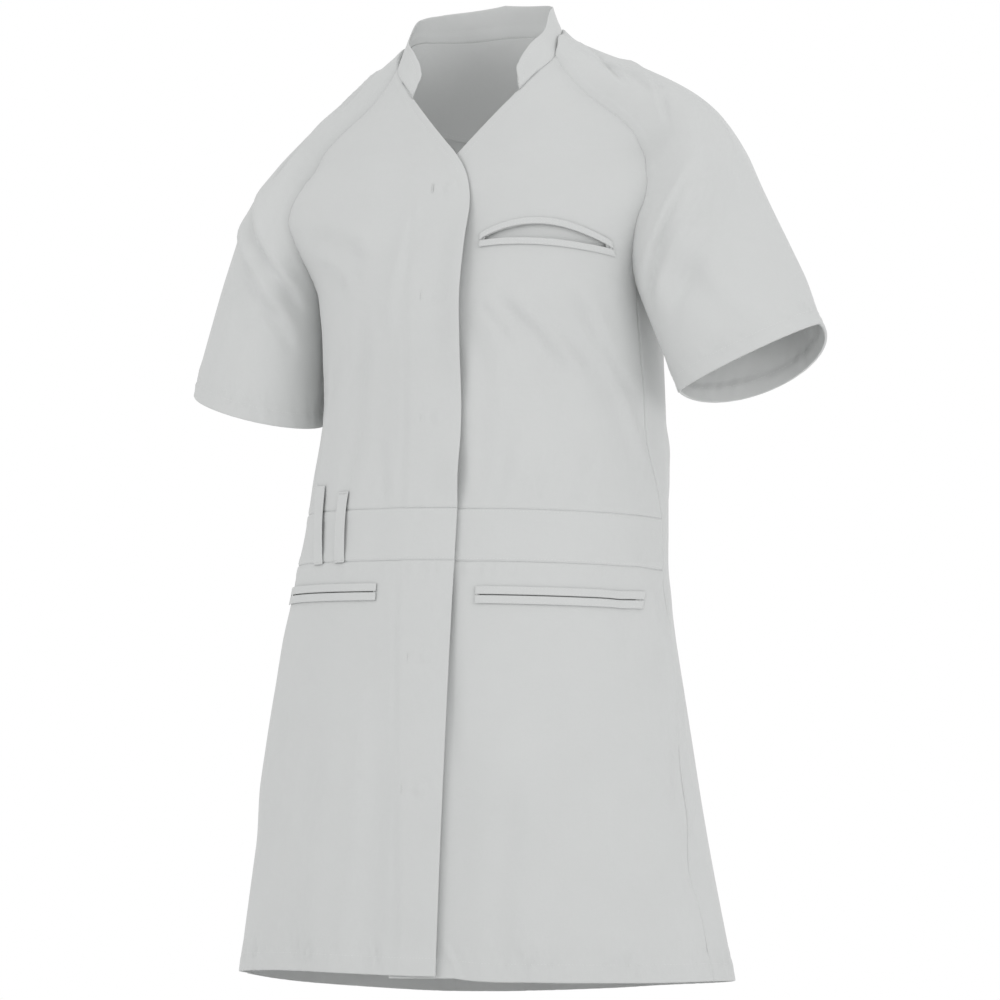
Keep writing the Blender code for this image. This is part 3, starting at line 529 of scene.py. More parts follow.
class Piece:
    """One cut of cloth: the grid of its middle surface, and the relief of its outer and inner faces."""

    EDGES = {
        "near": (slice(None), 0),
        "far": (slice(None), -1),
        "low": (0, slice(None)),
        "high": (-1, slice(None)),
    }

    def __init__(self, name, points, slot, seed, wall):
        self.name, self.points, self.slot, self.seed, self.wall = name, points, slot, seed, wall
        self.normals = grid_normals(points)
        self.across, self.up = run(points, 1), run(points, 0)
        self.outer = np.zeros(points.shape[:2])
        self.inner = np.zeros(points.shape[:2])
        self.away = {}

    def bend(self, relief):
        """Moves the whole cloth out by a relief, its two faces together."""
        self.points = self.points + self.normals * relief[..., None]
        self.normals = grid_normals(self.points)

    def from_edge(self, edge):
        if edge not in self.away:
            self.away[edge] = away_from(self.points, self.points[self.EDGES[edge]])
        return self.away[edge]

    def along_edge(self, edge):
        return self.up if edge in ("near", "far") else self.across

    def seam(self, edge, pucker=0.25, pitch=13.0, reach=9.0, roll=0.9):
        """The cloth rolls in at a seam, its allowance makes a faint ridge, and the thread puckers it."""
        away = self.from_edge(edge)
        waves = wave(self.along_edge(edge), self.seed, pitch)
        self.bend(pucker * waves * bell(away / reach) * smooth(away / 3))
        self.outer += 0.35 * smooth((ALLOWANCE - away) / 2.5) - roll * bell(away / 1.2)
        self.inner += 0.5 * smooth((ALLOWANCE - away) / 0.8)

    def hem(self, edge, depth, pucker=1.5, pitch=15.0, calm=None):
        """A turned hem: a second thickness inside, a stitched line, and the pulls that the stitches make."""
        away, along = self.from_edge(edge), self.along_edge(edge)
        fade = bell((away - depth) / 13)
        if calm:
            fade = fade * smooth((self.from_edge(calm) - 30) / 30)
        self.bend(pucker * wave(along + 0.5 * away, self.seed + 1, pitch) * fade)
        step, groove = smooth((depth + 1 - away) / 1.5), bell((away - depth + STITCH_IN) / 1.2)
        self.outer += 0.5 * step - 0.95 * groove
        self.outer -= EDGE_ROUND * bell(away / 0.6)
        self.inner += 1.3 * smooth((depth - away) / 0.6) * (1 + 0.25 * wave(along, self.seed + 3, 9.0))

    def fold_edge(self, edge):
        """Rounds off a folded edge."""
        rounding = EDGE_ROUND * bell(self.from_edge(edge) / 0.6)
        self.outer -= rounding
        self.inner -= rounding

    def groove(self, edge, distance, depth=0.65, pucker=0.2, pitch=11.0):
        away = self.from_edge(edge)
        waves = wave(self.along_edge(edge), self.seed + 2, pitch)
        self.bend(pucker * waves * bell((away - distance) / 5))
        self.outer -= depth * bell((away - distance) / 0.9)

    def face(self):
        return self.points + self.normals * (self.wall / 2 + self.outer)[..., None]

    def back_face(self):
        return self.points - self.normals * (self.wall / 2 + self.inner)[..., None]

    def line(self, edge, distance, start=0.0, inside=False):
        """Points and normals of the face where it is a distance from an edge, for a row of stitches."""
        away = self.from_edge(edge)
        face = self.back_face() if inside else self.face()
        normals = -self.normals if inside else self.normals
        if edge in ("low", "high"):
            away, face, normals = away.T, face.transpose(1, 0, 2), normals.transpose(1, 0, 2)
        if edge in ("far", "high"):
            away, face, normals = away[:, ::-1], face[:, ::-1], normals[:, ::-1]
        found = []
        for i, row in enumerate(away):
            over = np.nonzero((row[:-1] < distance) & (row[1:] >= distance))[0]
            if len(over) and start <= i / (len(away) - 1):
                j = over[0]
                share = (distance - row[j]) / (row[j + 1] - row[j])
                found.append([face[i, j] * (1 - share) + face[i, j + 1] * share, normals[i, j]])
        return np.array(found).transpose(1, 0, 2) if len(found) > 1 else None

    def shut(self):
        """The rows whose two ends meet, as a sleeve's do below the armpit."""
        return np.linalg.norm(self.points[:, 0] - self.points[:, -1], axis=1) < SHUT

    def build(self, sheet=None, mouth=None):
        """The shell as a mesh object with flat coordinates, standing for its node."""
        rows, columns = self.outer.shape
        shut = self.shut()
        mesh = bmesh.new()
        flat = mesh.loops.layers.uv.new("flat")
        grids = self.face(), self.back_face()
        layers = [[[mesh.verts.new(p * MM) for p in row] for row in grid] for grid in grids]
        u = (self.across - self.across[:, -1:] / 2 + self.across.mean(0)[-1] / 2) * MM
        v = self.up * MM

        def face(*corners):
            made = mesh.faces.new([layers[layer][i][j] for layer, i, j in corners])
            for loop, (_, i, j) in zip(made.loops, corners):
                loop[flat].uv = u[i, j], v[i, j]

        for layer in (0, 1):
            for i in range(rows - 1):
                for j in range(columns - 1):
                    ring = [(layer, i, j), (layer, i, j + 1), (layer, i + 1, j + 1), (layer, i + 1, j)]
                    face(*(ring[::-1] if layer else ring))
        top, far = rows - 1, columns - 1
        border = [(0, j, 0, j + 1) for j in range(far)]
        border += [(top, j, top, j - 1) for j in range(far, 0, -1)]
        border += [(i, far, i + 1, far) for i in range(top) if not shut[i : i + 2].all()]
        border += [(i, 0, i - 1, 0) for i in range(top, 0, -1) if not shut[i - 1 : i + 1].all()]
        for a, b, c, d in border:
            face((1, a, b), (1, c, d), (0, c, d), (0, a, b))
        if shut.any():
            bmesh.ops.remove_doubles(mesh, verts=mesh.verts, dist=0.03 * MM)
        thing = placed(mesh, self.name)
        if mouth is not None:
            cut(thing, mouth)
        return dress(thing, self.slot, self.name.removesuffix("_cloth"))


def tube(rings):
    """A closed mesh through rings of points, with a face over each end."""
    mesh = bmesh.new()
    rings = [[mesh.verts.new(p * MM) for p in ring] for ring in rings]
    for ring, following in zip(rings, rings[1:]):
        for i in range(len(ring)):
            j = (i + 1) % len(ring)
            mesh.faces.new((ring[i], ring[j], following[j], following[i]))
    mesh.faces.new(rings[0][::-1])
    mesh.faces.new(rings[-1])
    bmesh.ops.recalc_face_normals(mesh, faces=mesh.faces)
    return mesh


def placed(mesh, name, soft=True):
    """Turns a mesh that is being built into an object in the scene."""
    data = bpy.data.meshes.new(name)
    mesh.to_mesh(data)
    mesh.free()
    if soft:
        data.shade_smooth()
    thing = bpy.data.objects.new(name, data)
    bpy.context.scene.collection.objects.link(thing)
    return thing


def dress(thing, slot, node=None):
    """Gives a piece its material and its place on the solids."""
    thing.data.materials.clear()
    thing.data.materials.append(bpy.data.materials[MATERIALS[slot]])
    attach(thing, "root")
    if node:
        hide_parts(node)
    slot != "thread"
    return thing


def cut(thing, cutter):
    """Cuts a mouth through a piece with a closed block, which then goes."""
    boolean = thing.modifiers.new("mouth", "BOOLEAN")
    boolean.operation, boolean.solver, boolean.object = "DIFFERENCE", "EXACT", cutter
    bpy.context.view_layer.update()
    made = bpy.data.meshes.new_from_object(thing.evaluated_get(bpy.context.evaluated_depsgraph_get()))
    thing.modifiers.clear()
    thing.data = made
    bpy.data.objects.remove(cutter, do_unlink=True)


# --- The pieces


def settings():
    return bpy.context.scene.medical_tunic


def grain():
    return settings().grid_step / MM


def wall():
    return settings().cloth_thickness / MM


def level_line(side, level, columns):
    """Angles and heights along a level seam or hem, from a front's free edge to its side seam."""
    start = front_angle(FREE_EDGE[side](level), level)
    angles = start + (SIDE.at("angle", level) - start) * columns
    if level == HEM_LEVEL:
        shown = np.maximum(angles, HEM_UNDER) if side == "left" else -angles
        return pairs(angles, hem_height(shown))
    return pairs(angles, tilted(level, form(angles, level)[..., 0] * TURN[side]))


def creasing(angles, heights):
    """The relief of the body's fine creases, finer than the solids' folds and alike across each seam."""
    whole, size, strength = angles % 360, math.radians(1) * RADIUS, settings().crease_strength
    return sum(strokes(CREASES, at, heights, size, 1.0, strength) for at in (whole, whole - 360))


def front_grid(side, angles, heights):
    """Points of a front from its angles and heights, on its own side, lifted at the placket."""
    x = form(angles, heights)[..., 0]
    points = place(angles, heights, LIFT[side](x, heights))
    normal = form_normal(angles, heights)
    relief = creasing(angles * TURN[side], heights)
    points = points + normal * (relief * smooth((x + 26) / 22))[..., None]
    points[..., 0] *= TURN[side]
    return points[:, :: TURN[side]]


def front_edges(side):
    """Which edge of a front's grid is its free edge, and which is its side seam."""
    return ("near", "far") if side == "left" else ("far", "near")


def bodice(side):
    knee = 0.4
    rows, columns = stations(410, grain(), (knee,)), stations(205, grain())
    bottom = level_line(side, WAIST_TOP, columns)
    v_start, neck = V_POINT - V_SLOPE * UNDERLAP, float(NECK.at("height", NECK_END))
    edge_heights = np.interp(rows, [0, 0.6, 1], [bottom[0, 1], v_start, neck])
    near = pairs(front_angle(FREE_EDGE[side](edge_heights), edge_heights), edge_heights)
    armpit, top_height = RAGLAN_FRONT.rows[0, 0], RAGLAN_FRONT.rows[-1, 0]
    far_heights = np.interp(rows, [0, knee, 1], [bottom[-1, 1], armpit, top_height])
    far_angles = np.where(rows < knee, SIDE.at("angle", far_heights), RAGLAN_FRONT.at("angle", far_heights))
    far = pairs(slide(far_angles, far_heights, -SEAM_GAP), far_heights)
    top_angles = NECK_END + (far[-1, 0] - NECK_END) * columns
    top = pairs(top_angles, NECK.at("height", top_angles))
    near[-1], far[-1] = top[0], top[-1]
    bottom[-1], near[0] = far[0], bottom[0]
    grid = patch(rows, columns, near, far, bottom, top)
    points = front_grid(side, grid[..., 0], grid[..., 1])
    piece = Piece(f"bodice_front_{side}_cloth", points, "tunic_cloth", 1 + TURN[side], wall())
    free, flank = front_edges(side)
    piece.seam(flank, pucker=0.45, pitch=15, roll=0.12)
    piece.seam("low", pucker=0.5, pitch=13)
    piece.seam("high", pucker=0.15)
    piece.fold_edge(free)
    above = smooth((piece.points[..., 2] - V_POINT + 12) / 16)
    piece.outer -= 0.25 * above * bell((piece.from_edge(free) - 6.5) / 0.9)
    if side == "right":
        fly(piece)
    dart(piece)
    return piece


def dart(piece):
    """The seam that shapes a bodice front at its side: a fine line with its allowance pressed one way."""
    x, y, z = np.moveaxis(piece.points, -1, 0)
    angle = np.degrees(np.arctan2(np.abs(x), FORM.at("middle", z) - y))
    away = np.radians(angle - np.interp(z, *DART)) * RADIUS
    below = smooth((DART[0][-1] - z) / 12)
    piece.outer += below * (0.3 * smooth(away / 2 + 0.5) * smooth((8 - away) / 3) - 0.6 * bell(away / 1.2))


def fly(piece):
    """The over front's placket: a faint ridge down its inner layer's edge, and the studs' round marks."""
    x, z = -piece.points[..., 0], piece.points[..., 2]
    line = np.interp(z, [-829, -756, -503, -150, -60], [17, 17.7, 31.3, 33.5, 36])
    below = smooth((-118 - z) / 25)
    relief = 0.45 * smooth((line - x) / 3.5) * below
    relief -= 0.8 * bell((x - line - 1) / 3.2) * below * (0.6 + 0.4 * np.sin(z / 31))
    for height in STUD_HEIGHTS:
        if height == STUD_HEIGHTS[3]:
            continue
        away = np.hypot(x, z - height)
        relief += 0.7 * smooth((5.4 - away) / 1.3) - 0.45 * smooth((3.4 - away) / 1.2)
        relief -= 0.5 * bell((away - 7.5) / 3.0)
        relief -= 0.5 * np.exp(-((((x - TACK_X) / 2.2) ** 4 + ((z - height) / 5.4) ** 4)))
    piece.outer += relief


def band(name, side, top_level, bottom_level, rows, slot, seed):
    columns = stations(250, grain())
    bottom, top = level_line(side, bottom_level, columns), level_line(side, top_level, columns)
    near_heights = bottom[0, 1] + (top[0, 1] - bottom[0, 1]) * rows
    near = pairs(front_angle(FREE_EDGE[side](near_heights), near_heights), near_heights)
    far_heights = bottom[-1, 1] + (top[-1, 1] - bottom[-1, 1]) * rows
    far = pairs(slide(SIDE.at("angle", far_heights), far_heights, -SEAM_GAP), far_heights)
    bottom[-1], top[-1], bottom[0], top[0] = far[0], far[-1], near[0], near[-1]
    grid = patch(rows, columns, near, far, bottom, top)
    return Piece(name, front_grid(side, grid[..., 0], grid[..., 1]), slot, seed, wall())


def waistband(side):
    rows = stations(46, grain())
    piece = band(f"waistband_{side}_cloth", side, WAIST_TOP, WAIST_BOTTOM, rows, "trim_cloth", 4 + TURN[side])
    free, flank = front_edges(side)
    piece.seam(flank)
    piece.seam("low", pucker=0.2, pitch=12, reach=6)
    piece.seam("high", pucker=0.2, pitch=14, reach=6)
    piece.outer += 0.25
    piece.fold_edge(free)
    return piece


def skirt(side):
    rows = stations(365, grain())
    piece = band(f"skirt_front_{side}_cloth", side, WAIST_BOTTOM, HEM_LEVEL, rows, "tunic_cloth", 8 + TURN[side])
    free, flank = front_edges(side)
    piece.seam(flank, pucker=0.35, pitch=19, reach=12)
    piece.seam("high", pucker=1.0, pitch=15, reach=14)
    piece.fold_edge(free)
    piece.hem("low", HEM, pucker=1.8, pitch=14, calm=free)
    if side == "right":
        fly(piece)
    return piece


def back_piece():
    armpit, neck = RAGLAN_BACK.rows[0, 0], RAGLAN_BACK.rows[-1, 0]
    knee = 0.7
    rows, columns = stations(870, grain(), (knee,)), stations(470, grain())

    def edge(side):
        hem = hem_height(SIDE.at("angle", HEM_LEVEL) * TURN[side])
        heights = np.interp(rows, [0, knee, 1], [hem, armpit, neck])
        angles = np.where(rows < knee, SIDE.at("angle", heights), RAGLAN_BACK.at("angle", heights))
        return pairs(slide(angles, heights, SEAM_GAP), heights)

    near, far = edge("left"), edge("right")
    far[:, 0] = 360 - far[:, 0]
    hem_angles = near[0, 0] + (far[0, 0] - near[0, 0]) * columns
    bottom = pairs(hem_angles, hem_height(hem_angles))
    neck_angles = near[-1, 0] + (far[-1, 0] - near[-1, 0]) * columns
    top = pairs(neck_angles, NECK.at("height", 180 - np.abs(180 - neck_angles)))
    top[0], top[-1], bottom[0], bottom[-1] = near[-1], far[-1], near[0], far[0]
    grid = patch(rows, columns, near, far, bottom, top)
    angles, heights = grid[..., 0], grid[..., 1]
    points = place(angles, heights) + form_normal(angles, heights) * creasing(angles, heights)[..., None]
    piece = Piece("back_cloth", points, "tunic_cloth", 13, wall())
    piece.seam("near", pucker=0.35, pitch=18, reach=11)
    piece.seam("far", pucker=0.35, pitch=17, reach=11)
    piece.seam("high", pucker=0.2)
    piece.hem("low", HEM, pucker=1.8, pitch=15)
    return piece


def arc(start, start_way, end, end_way, u):
    """Points at shares u of a smooth curve between two points that leaves and arrives along given ways."""
    u = u[:, None]
    return (
        start * (1 + 2 * u) * (1 - u) ** 2
        + end * u**2 * (3 - 2 * u)
        + start_way * u * (1 - u) ** 2
        - end_way * u**2 * (1 - u)
    )


def cap_row(side, along, front_point, back_point, columns):
    """A row of the sleeve from the front raglan seam over the shoulder line to the back one."""
    top = np.array([SHOULDER[side].at(name, along) for name in ("out", "back", "height")])
    rise = unit(top - (front_point + back_point) / 2)
    turned = smooth(along / 0.42)
    forward = unit(np.array([0.25, -1.0, -0.15]))
    leave = unit(forward * (1 - turned) + rise * turned)
    arrive = unit(forward * np.array([-1, 1, -1]) * (1 - turned) - rise * turned)
    fullness = 1.75 - 0.5 * turned
    over = np.array([0.0, 1.0, 0.0])
    reach_front = np.linalg.norm(top - front_point) * fullness
    reach_back = np.linalg.norm(back_point - top) * fullness
    half = columns <= 0.5
    first = arc(front_point, leave * reach_front, top, over * reach_front, columns[half] * 2)
    second = arc(top, over * reach_back, back_point, arrive * reach_back, columns[~half] * 2 - 1)
    return np.concatenate([first, second])


def sleeve_relief(side, grid, rise, around):
    """The solids' folds and the finer creases of a sleeve; its edges stay where they are."""
    total = np.zeros(grid.shape[:2])
    for rise_from, round_from, rise_to, round_to, width, depth in SLEEVE_FOLDS[side].rows:
        share = np.clip((rise - rise_from) / (rise_to - rise_from), 0, 1)
        away = around - (round_from + (round_to - round_from) * share)
        ends = smooth((rise - rise_from) / 0.12 + 0.5) * smooth((rise_to - rise) / 0.12 + 0.5)
        total = total + depth * bell(away / width) * ends
    places = around + 0 * rise, rise + 0 * around
    total += strokes(SLEEVE_CREASES[side], *places, *SLEEVE_SIZE, settings().crease_strength)
    edges = smooth(around / 0.12) * smooth((1 - around) / 0.12)
    return grid + grid_normals(grid) * (total * edges)[..., None]


def sleeve(side):
    share = TUBE_SHARE
    rows, columns = stations(320, grain(), (share,)), stations(360, grain(), (0.5,))
    along = (rows[rows >= share] - share) / (1 - share)
    front_heights = np.interp(along, [0, 1], RAGLAN_FRONT.rows[[0, -1], 0])
    back_heights = np.interp(along, [0, 1], RAGLAN_BACK.rows[[0, -1], 0])
    front_angles = slide(RAGLAN_FRONT.at("angle", front_heights), front_heights, SEAM_GAP)
    back_angles = slide(RAGLAN_BACK.at("angle", back_heights), back_heights, -SEAM_GAP)
    front_angles[0] = back_angles[0] = RAGLAN_FRONT.at("angle", front_heights[0])
    front_seam, back_seam = place(front_angles, front_heights), place(back_angles, back_heights)
    cap = np.array([cap_row(side, *row, columns) for row in zip(along, front_seam, back_seam)])
    neck_angles = front_angles[-1] + (back_angles[-1] - front_angles[-1]) * columns
    cap[-1] = form(neck_angles, NECK.at("height", neck_angles))
    centre, outer, front, rear = (np.array(v, float) for v in CUFF[side])
    turn = np.radians(-90 + 360 * columns)[:, None]
    cuff = centre + outer * np.sin(turn) - np.where(np.cos(turn) > 0, front, rear) * np.cos(turn)
    down = rows[rows < share] / share
    grid = np.concatenate([cuff[None] + (cap[0] - cuff)[None] * down[:, None, None], cap])
    ease = bell((rows - share) / 0.07)[:, None, None]
    ease = ease * smooth(np.minimum(columns, 1 - columns) / 0.05)[None, :, None]
    for _ in range(60):
        even = grid.copy()
        even[1:-1] = (grid[:-2] + grid[2:]) / 2
        grid = grid + (even - grid) * 0.5 * ease
    grid = sleeve_relief(side, grid, rows[:, None], columns[None, :])
    if side == "right":
        grid[..., 0] *= -1
        grid = grid[:, ::-1]
    piece = Piece(f"sleeve_{side}_cloth", grid, "tunic_cloth", 17 + TURN[side], wall())
    above = smooth((rows - share) / 0.03)[:, None]
    kept = piece.points.copy(), piece.outer.copy(), piece.inner.copy()
    for edge in ("near", "far"):
        piece.seam(edge, pucker=0.45, pitch=14, roll=0.12)
    piece.points = kept[0] * (1 - above[..., None]) + piece.points * above[..., None]
    piece.normals = grid_normals(piece.points)
    for i in np.nonzero(piece.shut())[0]:
        normal = unit(piece.normals[i, 0] + piece.normals[i, -1])
        piece.normals[i, 0] = piece.normals[i, -1] = normal
    piece.outer, piece.inner = piece.outer * above, piece.inner * above
    piece.seam("high", pucker=0.2)
    piece.hem("low", CUFF_HEM, pucker=1.3, pitch=13)
    return piece


def collar_piece():
    size = grain() / 3.4
    half = np.concatenate([np.arange(NECK_END, 62, 0.35 * size), np.arange(62, 179.4, 1.1 * size), [180.0]])
    angles = np.concatenate([half, 360 - half[-2::-1]])
    own = 180 - np.abs(180 - angles)
    seam = form(angles, NECK.at("height", own))
    inward = -unit(seam * np.array([1, 1, 0]))
    rows = stations(30, min(grain(), 3.0))
    height, lean = COLLAR.at("height", own), COLLAR.at("lean", own)
    points = np.array(
        [
            seam + inward * (lean * r)[:, None] + np.array([0, 0, 1]) * (0.4 + (height - 0.4) * r)[:, None]
            for r in rows
        ]
    )
    piece = Piece("collar_cloth", points, "trim_cloth", 21, wall())
    slow = 0.5 * np.sin(piece.across / 23 + 1.3) * smooth(piece.up / 20)
    quick = 0.3 * np.sin(piece.across / 9.1) * smooth(piece.up / 25)
    piece.bend(slow + quick)
    piece.seam("low", pucker=0.15, reach=5)
    piece.outer += 0.2
    for edge in ("high", "near", "far"):
        piece.fold_edge(edge)
    piece.outer -= 0.2 * bell((piece.from_edge("high") - 5.5) / 0.9)
    return piece


def facing_piece():
    rows, columns = stations(75, grain()), stations(190, grain())
    heights = FACING_SIDE + (NECK.at("height", FACING_END) - FACING_INSET - FACING_SIDE) * rows
    near = pairs(FACING_END, heights)
    far = pairs(360 - near[:, 0], heights)
    neck_angles = near[-1, 0] + (far[-1, 0] - near[-1, 0]) * columns
    top = pairs(neck_angles, NECK.at("height", 180 - np.abs(180 - neck_angles)) - FACING_INSET)
    low_angles = near[0, 0] + (far[0, 0] - near[0, 0]) * columns
    bow = np.sqrt(np.clip(1 - ((low_angles - 180) / (180 - low_angles[0])) ** 2, 0, 1))
    low = pairs(low_angles, FACING_SIDE + (FACING_LOW - FACING_SIDE) * bow)
    top[0], top[-1] = near[-1], far[-1]
    grid = patch(rows, columns, near, far, low, top)
    points = place(grid[..., 0], grid[..., 1], -FACING_IN)
    piece = Piece("neck_facing_cloth", points, "trim_cloth", 24, 0.7)
    piece.inner += 0.35 * smooth((7 - piece.from_edge("low")) / 1)
    return piece


def on_front(side, x, height):
    """Points and normals of the middle of a front's cloth: x from the mid-plane on its own side."""
    angles = front_angle(x, height)
    points = front_grid(side, angles, height)[:, :: TURN[side]]
    return points, form_normal(angles, height) * (TURN[side], 1, 1)


def lying(name, side, x, heights, out, seed, thick):
    """A piece that lies on a front, or hangs behind it, at a distance out from the cloth's middle."""
    points, normals = on_front(side, x, heights)
    points = points + normals * np.asarray(out)[..., None]
    return Piece(name, points[:, :: TURN[side]], "trim_cloth", seed, thick)


def mouth_block(name, side, x, low, high):
    """A closed block through a front's wall along a pocket's mouth."""
    lines = []
    for h, out in ((low, -MOUTH_REACH), (high, -MOUTH_REACH), (high, MOUTH_REACH), (low, MOUTH_REACH)):
        strip = lying(name, side, np.stack([x, x]), np.stack([h, h + 0.01]), out, 0, 1.0)
        lines.append(strip.points[0])
    return placed(tube(zip(*lines)), name, soft=False)


def chest_lines(count):
    share = np.linspace(0, 1, count)
    x = CHEST["start"] + (CHEST["end"] - CHEST["start"]) * share
    line = CHEST["start_height"] + (CHEST["end_height"] - CHEST["start_height"]) * share
    bow = np.sin(np.pi * share) ** 0.8
    return x, line + CHEST_UPPER_LIP * bow + 0.3, line + CHEST_LOWER_LIP * bow - 0.3


def hip_lines(side, count):
    size = HIP[side]
    x = np.linspace(size["start"], size["end"], count)
    line = size["height"] + TILT * TURN[side] * x
    return x, line + HIP_MOUTH, line - HIP_MOUTH


def welt(name, side, x, low, high, seed):
    """A folded strip over a pocket's mouth, full at its folded edge and stitched down at the other."""
    columns = stations(x[-1] - x[0], min(grain(), 3.0))
    rows = stations(7, 1.2)
    shares = np.linspace(0, 1, len(x))
    at, bottom, top = (np.interp(columns, shares, line)[None, :] for line in (x, low, high))
    heights = bottom + (top - bottom) * rows[:, None]
    piece = lying(name, side, at + 0 * heights, heights, WELT_OUT, seed, 1.0)
    piece.bend(0.12 * wave(piece.across, seed, 9.0) * np.sin(np.pi * rows)[:, None])
    for edge in ("near", "far", "low", "high"):
        piece.fold_edge(edge)
    return piece


def bag(name, side, x, top, depth, seed):
    columns, rows = stations(x[-1] - x[0], grain()), stations(depth, grain())
    at = (x[0] + (x[-1] - x[0]) * columns)[None, :]
    high = np.interp(at, x, top)
    heights = high - depth + depth * rows[:, None]
    piece = lying(name, side, at + 0 * heights, heights, -BAG_IN, seed, 0.8)
    for edge in ("near", "far", "low"):
        piece.groove(edge, 6.0)
    return piece


def pocket(name, side, x, high, low, welt_height, bag_x, depth, seed):
    """A pocket's upper welt, lower welt and bag, from the two lines of its mouth."""
    top = high + welt_height
    return (
        welt(f"{name}_upper_welt_cloth", side, x, high, top, seed),
        welt(f"{name}_lower_welt_cloth", side, x, low - welt_height, low, seed + 1),
        bag(f"{name}_bag_cloth", side, bag_x, np.interp(bag_x, x, top), depth, seed + 2),
    )


# --- Sewing


def stitched(name, lines):
    """Rows of thread: each line is points and normals on a face, and each stitch a low rounded bar."""
    own = settings()
    pitch, length = own.stitch_pitch / MM, own.stitch_length / MM
    mesh = bmesh.new()
    for points, normals in (line for line in lines if line is not None):
        steps = run(points, 0)
        for centre in np.arange(pitch, steps[-1] - pitch / 2, pitch):
            start = at_length(points, steps, centre - length / 2)
            end = at_length(points, steps, centre + length / 2)
            bar(mesh, start, end, unit(at_length(normals, steps, centre)), STITCH_HALF, STITCH_RISE)
    return sewing(name, mesh)


def at_length(values, steps, length):
    return np.array([np.interp(length, steps, values[:, k]) for k in range(3)])


def bar(mesh, start, end, normal, half_width, rise):
    """One stitch: it dips into the cloth at both ends and stands a little proud between them."""
    side = unit(np.cross(normal, unit(end - start))) * half_width
    middle, aside = (start + end) / 2, side * 0.8
    first, last = (start + middle) / 2, (middle + end) / 2
    top = mesh.verts.new((middle + normal * rise) * MM)
    ring = [start, first + aside, middle + side, last + aside, end, last - aside, middle - side, first - aside]
    verts = [mesh.verts.new((p - normal * 0.05) * MM) for p in ring]
    for a, b in zip(verts, verts[1:] + verts[:1]):
        mesh.faces.new((a, top, b))


def sewing(name, mesh):
    bmesh.ops.recalc_face_normals(mesh, faces=mesh.faces)
    return dress(placed(mesh, name), "thread")


def bar_tacks(name, places):
    """Dense short bars of thread. Each place is a centre, the way along it, a normal, a length and a width."""
    mesh = bmesh.new()
    for centre, way, normal, length, width in places:
        aside = unit(np.cross(normal, way))
        for k in np.arange(-length / 2, length / 2, 0.55):
            middle = centre + way * k
            bar(mesh, middle - aside * width / 2, middle + aside * width / 2, normal, 0.27, 0.4)
    return sewing(name, mesh)


def tack(start, end, normal):
    """A tack's place, from one point to another."""
    return (start + end) / 2, unit(end - start), normal, np.linalg.norm(end - start), TACK_WIDTH


def sew_pocket(parts, kind):
    """Builds a pocket's pieces, and gives its rows of stitches and the tacks across its ends."""
    upper, lower, _ = parts
    for piece, sheet in zip(parts, ("welt", "welt", "bag")):
        piece.build(f"{kind}_{sheet}")
    rows = [piece.line(edge, 1.6) for piece in (upper, lower) for edge in ("low", "high")]
    low, high = lower.face()[0], upper.face()[-1]
    return rows, [tack(low[step], high[step], upper.normals[0, step]) for step in (3, -4)]


def placket_tacks():
    """The upright tacks beside the studs, which hold the concealed fastening's inner layer."""
    places = []
    for height in STUD_HEIGHTS:
        points, normals = on_front("right", *np.meshgrid([TACK_X, TACK_X + 1], [height, height + 1]))
        centre = points[0, 0] + normals[0, 0] * (wall() / 2 + 0.1)
        places.append((centre, unit(points[1, 0] - points[0, 0]), normals[0, 0], 8.5, 2.2))
    return places


def loop_strips():
    """The two loops on the right waistband: each is sewn down at both ends and stands off between them."""
    made = []
    for n, (name, size) in enumerate(LOOPS.items()):
        share = stations(size["top"] - LOOP_BOTTOM, min(grain(), 2.5))[:, None]
        across = (stations(LOOP_WIDTH, min(grain(), 2.0))[None, :] - 0.5) * LOOP_WIDTH
        middle = size["bottom_x"] + (size["top_x"] - size["bottom_x"]) * share
        heights = LOOP_BOTTOM + (size["top"] - LOOP_BOTTOM) * share + 0 * across
        out = WELT_OUT + 0.1 + LOOP_BULGE * np.sin(np.pi * share) + 0 * across
        piece = lying(f"waist_loop_{name}_cloth", "right", middle + across, heights, out, 30 + n, 1.1)
        for edge in ("near", "far"):
            piece.fold_edge(edge)
            piece.outer -= 0.2 * bell((piece.from_edge(edge) - 2.0) / 0.7)
        for edge in ("low", "high"):
            piece.fold_edge(edge)
        made.append(piece)
    return made


# --- Studs


def stud(number, height):
    """A fastened press stud between the two fronts: two rolled caps on a waisted post."""
    profile = [(radius, -rise) for radius, rise in STUD_HALF[:0:-1]] + list(STUD_HALF)
    normal = form_normal(np.array(0.0), np.array(height))
    side, up = np.array([1.0, 0, 0]), unit(np.cross(normal, [1.0, 0, 0]))
    centre = form(0.0, height)
    turns = np.linspace(0, 2 * math.pi, 32, endpoint=False)
    rings = [
        [centre + radius * (side * math.cos(t) + up * math.sin(t)) + normal * rise for t in turns]
        for radius, rise in profile
    ]
    return dress(placed(tube(rings), f"press_stud_{number}_metal"), "stud_metal", f"press_stud_{number}")


# --- Materials


